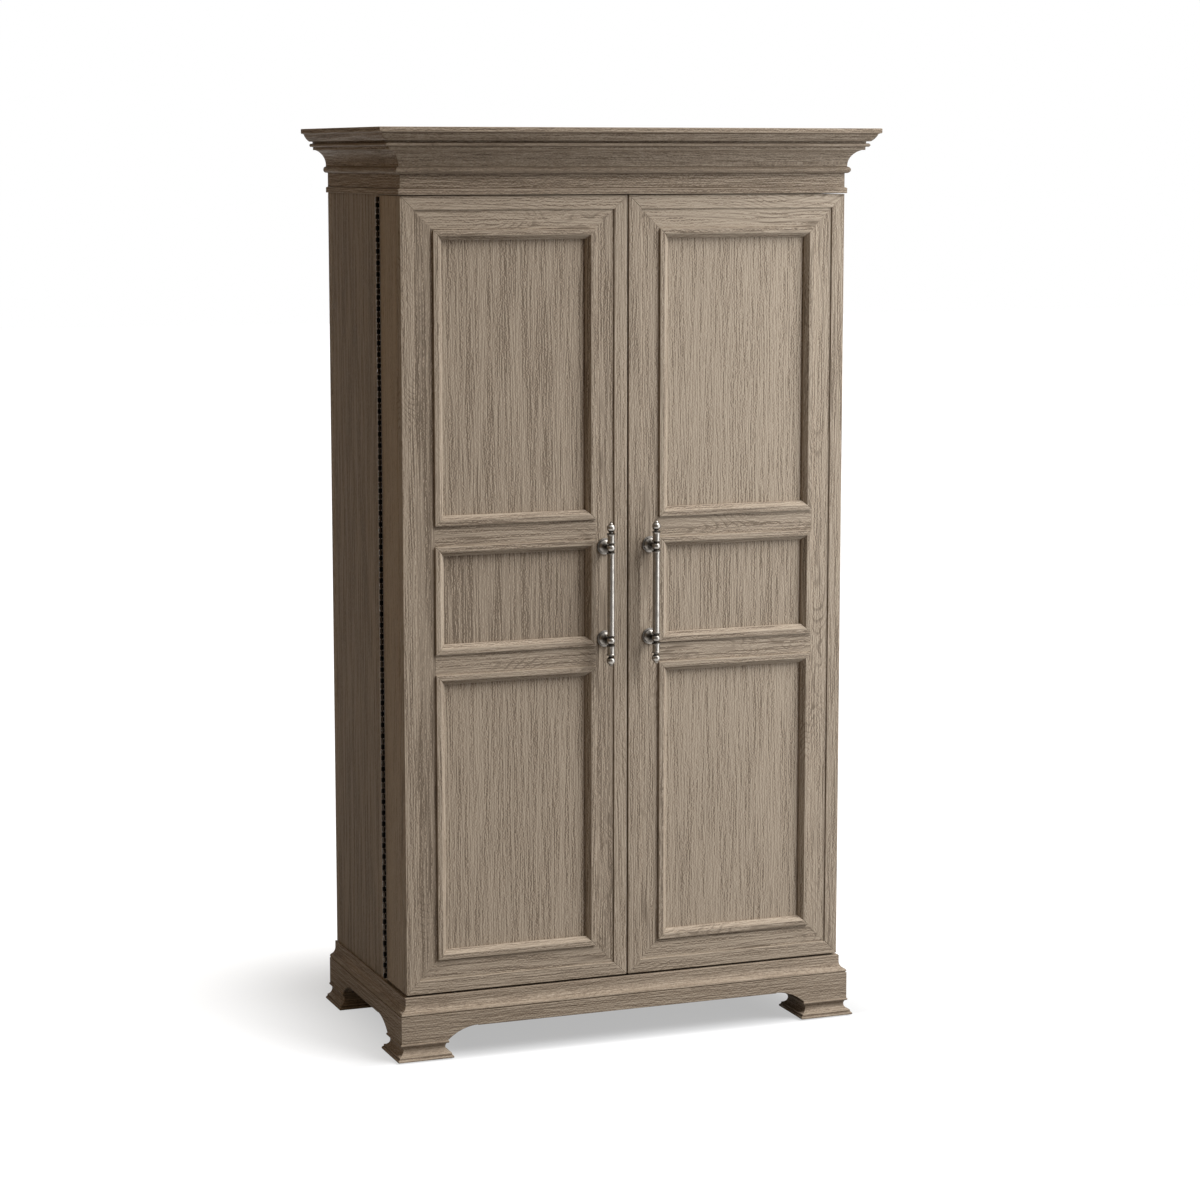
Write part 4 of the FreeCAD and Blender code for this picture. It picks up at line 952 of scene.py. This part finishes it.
def boxes_of_parts(piece):
    """Low and high corners of each loose part of a piece."""
    points = read(piece.data.vertices, "co", 3).astype(float)
    part = loose_parts(piece.data)
    parts = [points[part == number] for number in range(part.max() + 1)]
    return [(mine.min(0), mine.max(0)) for mine in parts]


# Bevels on the hinges' knuckles and plates
KNUCKLE_EDGE = 0.35 * MM
PLATE_EDGE = 0.25 * MM
# How far a knuckle's tab runs from the pin: this share of the barrel's radius, and this much more
TAB_SHARE = 0.6
TAB_REACH = 1.0 * MM
# Distance from the middle of a CAD leaf to the door's back and to the case's front
LEAF_REACH = 1.5 * MM


class CABINET_OT_hinges(bpy.types.Operator):
    """Model the continuous hinges: fine knuckles, leaves and their screws"""

    bl_idname = "cabinet.hinges"
    bl_label = "Hinges"

    def execute(self, context):
        for hand, side in zip(HANDS, (-1, 1)):
            for leaf, body, first in (("case", CASE_BODY, 0), ("door", DOOR_BODY[hand], 1)):
                node = f"{hand}_hinge_{leaf}_leaf"
                parts = self.model_leaf(context.scene.cabinet_hinge, node, leaf, side, first)
                piece = join(f"{node}_fine", "hinge", *parts)
                # The case leaves are marked dark all over: painted shade, so that their knuckles read darker
                # than the door leaves' ones
                if leaf == "case":
                    mark(piece.data, "tarnish_and_shade", np.ones(len(piece.data.vertices)))
                stand_for(piece, body, "hinge_metal", node)
        dress_metal("hinge_pins", "hinge", "hinge_metal", PIN_EDGE)
        return {"FINISHED"}

    def model_leaf(self, settings, node, leaf, side, first):
        """Knuckles, plate and screws of one leaf, which has every second knuckle from its first one."""
        pins_low, pins_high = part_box("hinge_pins")
        pin_radius = (pins_high[1] - pins_low[1]) / 2
        pin_x = side * (pins_high[0] - pin_radius)
        pin_y = (pins_low[1] + pins_high[1]) / 2
        bottom, top = pins_low[2], pins_high[2]
        pairs = round((top - bottom) / (2 * settings.knuckle_pitch))
        pitch = (top - bottom) / (2 * pairs)
        low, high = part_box(node)
        near, far = self.plate_faces(leaf, (low[1] + high[1]) / 2, settings.leaf_thickness)
        barrel = max(abs(low[0]), abs(high[0])) - abs(pin_x)
        length = pitch - settings.knuckle_gap
        z = bottom + pitch * (first + 0.5)
        knuckle = add_disc((pin_x, pin_y, z), barrel, length, KNUCKLE_SIDES)
        bevel_sharp(knuckle, KNUCKLE_EDGE)
        tab_x = pin_x - side * barrel * TAB_SHARE - side * TAB_REACH
        tab = add_block((pin_x, near, z - length / 2), (tab_x, far, z + length / 2))
        take(knuckle, tab)
        bpy.ops.object.join()
        repeat(knuckle, pairs, 2 * pitch)
        outer_x = pin_x - side * (barrel + settings.plate_gap)
        inner_x = side * min(abs(low[0]), abs(high[0]))
        plate = add_block((outer_x, near, bottom), (inner_x, far, top))
        bevel_sharp(plate, PLATE_EDGE)
        face, rise = (far, settings.screw_rise) if leaf == "door" else (near, -settings.screw_rise)
        place = ((outer_x + inner_x) / 2, face, bottom + settings.screw_pitch / 2)
        screw = screw_head(place, settings.screw_radius, rise)
        repeat(screw, int((top - bottom) / settings.screw_pitch), settings.screw_pitch)
        return knuckle, plate, screw

    @staticmethod
    def plate_faces(leaf, middle, thickness):
        """Front and back of a leaf: against the door's back or the case's front."""
        if leaf == "door":
            return middle - LEAF_REACH, middle - LEAF_REACH + thickness
        return middle + LEAF_REACH - thickness, middle + LEAF_REACH


# A flange's collar in thicknesses of its rail, and its bevel as a share of its rise
COLLAR_WIDTH = 1.2
FLANGE_BEVEL = 0.2
# A sleeve's rim as a share of its radius, and its depth as a share of its rise
SLEEVE_RIM = 0.32
SLEEVE_DEPTH = 0.75
# A back screw's rise, rim and dish as shares of its radius
BACK_SCREW_RISE = 0.15
BACK_SCREW_RIM = 0.55
BACK_SCREW_DISH = 0.22


class CABINET_OT_fittings(bpy.types.Operator):
    """Finish the handles, rails, catches and shelf pins, and add flanges, sleeves and screws"""

    bl_idname = "cabinet.fittings"
    bl_label = "Fittings"

    def execute(self, context):
        settings = context.scene.cabinet_fitting
        for hand in HANDS:
            mark_recesses(dress_metal(f"{hand}_handle_bar", "pewter", "pewter"))
            mark_dishes(dress_metal(f"{hand}_handle_posts", "pewter", "pewter"))
            rails = dress_metal(f"{hand}_bottle_rails", "rail", "rail_metal")
            self.add_flanges(settings, hand, rails)
            dress_metal(f"{hand}_door_strike", "rail", "rail_metal")
        pins = dress_metal("shelf_pins", "rail", "rail_metal")
        self.add_sleeves(settings, pins)
        self.add_back_screws(settings)
        dress_metal("magnetic_catches", "catch", "catch_plastic")
        return {"FINISHED"}

    @staticmethod
    def finish(name, body, studs):
        """Studs joined into one piece of rail metal on a body."""
        stand_for(join(name, "rail", *studs), body, "rail_metal")

    def add_flanges(self, settings, hand, rails):
        """A collared flange on the door's walls at both ends of each bottle rail."""
        flanges = []
        for low, high in boxes_of_parts(rails):
            middle = (low + high) / 2
            rim = settings.flange_radius - COLLAR_WIDTH * (high[2] - low[2]) / 2
            for x, turn in ((low[0], FACING_RIGHT), (high[0], FACING_LEFT)):
                flange = stud((x, middle[1], middle[2]), turn, settings.flange_radius, settings.flange_rise,
                              rim, -settings.collar_rise)
                bevel_sharp(flange, settings.flange_rise * FLANGE_BEVEL)
                flanges.append(flange)
        self.finish(f"{hand}_rail_flanges", DOOR_BODY[hand], flanges)

    def add_sleeves(self, settings, pins):
        """A row of sleeves above and below each shelf pin, so that its shelf can be moved."""
        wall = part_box("shelf_pins")[1][0]
        sleeves = []
        for low, high in boxes_of_parts(pins):
            in_side = max(abs(low[0]), abs(high[0])) > wall - settings.sleeve_pitch / 2
            faces_right = (low[0] < 0) == in_side
            x, turn = (low[0], FACING_RIGHT) if faces_right else (high[0], FACING_LEFT)
            z = (low[2] + high[2]) / 2 - settings.sleeves_each_way * settings.sleeve_pitch
            sleeve = stud((x, (low[1] + high[1]) / 2, z), turn, settings.sleeve_radius, settings.sleeve_rise,
                          settings.sleeve_radius * SLEEVE_RIM, settings.sleeve_rise * SLEEVE_DEPTH)
            sleeves.append(repeat(sleeve, 2 * settings.sleeves_each_way + 1, settings.sleeve_pitch))
        self.finish("shelf_pin_sleeves", CASE_BODY, sleeves)

    def add_back_screws(self, settings):
        """Screws round the edge of the back panel."""
        low, high = (Vector(corner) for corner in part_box("case_back_panel"))
        inset, radius = settings.back_screw_inset, settings.back_screw_radius
        screws = []
        for axis, other in ((ALONG_Z, ALONG_X), (ALONG_X, ALONG_Z)):
            length = high[axis] - low[axis] - 2 * inset
            gaps = round(length / settings.back_screw_pitch)
            step = length / gaps
            skip = axis == ALONG_X
            for edge in (low[other] + inset, high[other] - inset):
                place = Vector((0.0, high[1], 0.0))
                place[other] = edge
                place[axis] = low[axis] + inset + (step if skip else 0.0)
                screw = stud(place, FACING_BACK, radius, radius * BACK_SCREW_RISE, radius * BACK_SCREW_RIM,
                             radius * BACK_SCREW_DISH)
                screws.append(repeat(screw, gaps - 1 if skip else gaps + 1, step, axis))
        self.finish("back_panel_screws", CASE_BODY, screws)


# Stage


def seen_directly(tree):
    """1 for what the camera sees, also by way of metal or glass, and 0 for light that falls on things."""
    path = tree.add("ShaderNodeLightPath").outputs
    mirrored = tree.math("MAXIMUM", path["Is Glossy Ray"], path["Is Transmission Ray"])
    return tree.math("MAXIMUM", path["Is Camera Ray"], mirrored)


def matte_material(name, colour):
    """Plain material without gloss."""
    material, tree, surface = new_material(name)
    tree.fill(surface, Base_Color=opaque(colour), Roughness=1.0, Specular_IOR_Level=0.0)
    return material, tree, surface


WHITE = (1.0, 1.0, 1.0, 1.0)
FLOOR_SIZE = 60.0
# How far inside the base the floor's painted shade begins to fade: at the left and front, at the right and
# back
SHADE_LOW_INSET = Vector((0.20, 0.02, 0.0))
SHADE_HIGH_INSET = Vector((0.20, -0.04, 0.0))
# How far the painted shade reaches, and how many times shorter it is in front
SHADE_REACH = 0.60
SHADE_FRONT_FADE = 8.0


def studio_floor(colour, glow):
    """Wide pale floor that keeps the cabinet's real shadow, with painted shade in its glow by the cabinet
    that fades to white away from it.
    """
    bpy.ops.mesh.primitive_plane_add(size=FLOOR_SIZE, location=(0.0, 0.0, 0.0))
    floor = bpy.context.object
    floor.name = "studio_floor"
    material, tree, surface = matte_material("studio_floor", colour)
    low, high = (Vector(corner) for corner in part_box("base_cap"))
    place = tree.add("ShaderNodeTexCoord").outputs["Object"]
    outside = []
    for corner, fade in (
        (low + SHADE_LOW_INSET, (-1.0, -SHADE_FRONT_FADE, 0.0)),
        (high - SHADE_HIGH_INSET, (1.0, 1.0, 0.0)),
    ):
        distance = tree.vector("MULTIPLY", tree.vector("SUBTRACT", place, corner), fade)
        outside.append(tree.vector("MAXIMUM", distance, (0.0, 0.0, 0.0)))
    away = tree.vector("LENGTH", tree.vector("ADD", *outside))
    # The glow is lower by the cabinet: painted shade on top of the floor's real shadow
    glow_and_painted_shade = tree.remap(away, 0.0, SHADE_REACH, glow, 1.0)
    seen_glow_and_shade = tree.math("MULTIPLY", seen_directly(tree), glow_and_painted_shade)
    tree.fill(surface, Emission_Color=WHITE, Emission_Strength=seen_glow_and_shade)
    floor.data.materials.append(material)


# Dark cards that shade the left side and the metal: name, place, facing and size
FLAGS = (
    ("studio_flag_left", (-2.3, -0.5, 1.7), FACING_RIGHT, (3.4, 8.0, 1.0)),
    ("studio_flag_front", (-0.42, -4.5, 1.7), FACING_FRONT, (3.75, 3.4, 1.0)),
)


def studio_flags(colour):
    """Dark cards at the left and the front, out of the camera's sight."""
    material = matte_material("studio_flag", colour)[0]
    for name, place, turn, size in FLAGS:
        bpy.ops.mesh.primitive_plane_add(size=1.0, location=place, rotation=turn)
        card = bpy.context.object
        card.name = name
        card.scale = size
        bpy.ops.object.transform_apply()
        card.visible_camera = False
        card.visible_shadow = False
        card.data.materials.append(material)


def studio_world(fill):
    """White surroundings for the camera and for reflections, and a dim warm fill for the rest."""
    world = bpy.context.scene.world or bpy.data.worlds.new("studio")
    bpy.context.scene.world = world
    world.use_nodes = True
    tree = Tree(world.node_tree)
    background = next(node for node in world.node_tree.nodes if node.type == "BACKGROUND")
    tree.fill(background, Color=tree.mix(seen_directly(tree), opaque(fill), WHITE), Strength=1.0)


def lamp(name, kind, place, target, power, **form):
    """Lamp that faces a point, with the form it has."""
    turn = (Vector(target) - Vector(place)).to_track_quat("-Z", "Y").to_euler()
    bpy.ops.object.light_add(type=kind, location=place, rotation=turn)
    light = bpy.context.object
    light.name = name
    light.visible_camera = False
    light.data.energy = power
    for key, setting in form.items():
        setattr(light.data, key, setting)


# Where each lamp stands and what it faces
HIGH_LIGHT = (5.33, -4.35, 8.62), (0.0, -0.25, 1.04)
KEY_LAMP = (1.25, -1.05, 1.7), (0.0, -0.25, 1.4)
BACK_LAMP = (-0.2, 2.1, 1.1), (0.35, 0.31, 1.1)
# Widths of the high light and of the back lamp's beam, as angles
HIGH_ANGLE = math.radians(34.0)
BACK_SPREAD = math.radians(60.0)
KEY_TINT = (0.90, 0.95, 1.0)
# The camera's place, how far it looks down and how far it is turned to the right
CAMERA_PLACE = (-2.5547, -6.6932, 2.0142)
CAMERA_TILT = math.radians(8.145)
CAMERA_PAN = math.radians(21.1)


class CABINET_OT_stage(bpy.types.Operator):
    """Add the floor, the lamps and the camera"""

    bl_idname = "cabinet.stage"
    bl_label = "Stage"

    def execute(self, context):
        settings = context.scene.cabinet_stage
        context.scene.view_settings.view_transform = "Standard"
        studio_floor(settings.floor, settings.floor_glow)
        studio_flags(settings.flag)
        studio_world(settings.fill)
        lamp("high_light", "SUN", *HIGH_LIGHT, settings.sun_strength, angle=HIGH_ANGLE)
        lamp("key_lamp", "AREA", *KEY_LAMP, settings.key_power, color=KEY_TINT, shape="RECTANGLE",
             size=1.1, size_y=2.8)
        lamp("back_lamp", "AREA", *BACK_LAMP, settings.back_power, shape="RECTANGLE",
             size=0.8, size_y=1.8, spread=BACK_SPREAD)
        turn = (RIGHT_ANGLE - CAMERA_TILT, 0.0, -CAMERA_PAN)
        bpy.ops.object.camera_add(location=CAMERA_PLACE, rotation=turn)
        camera = context.object
        camera.data.lens = settings.lens
        context.scene.camera = camera
        return {"FINISHED"}


class CABINET_PT_panel(bpy.types.Panel):
    """Steps that finish the cabinet, in order"""

    bl_label = "Cabinet"
    bl_idname = "CABINET_PT_panel"
    bl_space_type = "VIEW_3D"
    bl_region_type = "UI"
    bl_category = "Cabinet"

    def draw(self, context):
        for step in STEPS:
            self.layout.operator(step.bl_idname)
        for group in SETTINGS:
            box = self.layout.box()
            held = getattr(context.scene, group)
            for name in held.__annotations__:
                box.prop(held, name)


STEPS = (
    CABINET_OT_finishes,
    CABINET_OT_crown,
    CABINET_OT_base,
    CABINET_OT_case,
    CABINET_OT_doors,
    CABINET_OT_hinges,
    CABINET_OT_fittings,
    CABINET_OT_stage,
)
SETTINGS = {
    "cabinet_oak": OakSettings,
    "cabinet_metal": MetalSettings,
    "cabinet_hinge": HingeSettings,
    "cabinet_fitting": FittingSettings,
    "cabinet_stage": StageSettings,
}


def register():
    """Make the settings, operators and panel known."""
    for kind in (*SETTINGS.values(), *STEPS, CABINET_PT_panel):
        bpy.utils.register_class(kind)
    for name, kind in SETTINGS.items():
        setattr(bpy.types.Scene, name, bpy.props.PointerProperty(type=kind))


def unregister():
    """Take them away again."""
    for name in SETTINGS:
        delattr(bpy.types.Scene, name)
    for kind in reversed((*SETTINGS.values(), *STEPS, CABINET_PT_panel)):
        bpy.utils.unregister_class(kind)


def main():
    """Run the steps in order."""
    register()
    bpy.ops.cabinet.finishes()
    bpy.ops.cabinet.crown()
    bpy.ops.cabinet.base()
    bpy.ops.cabinet.case()
    bpy.ops.cabinet.doors()
    bpy.ops.cabinet.hinges()
    bpy.ops.cabinet.fittings()
    bpy.ops.cabinet.stage()


if __name__ == "__main__":
    main()
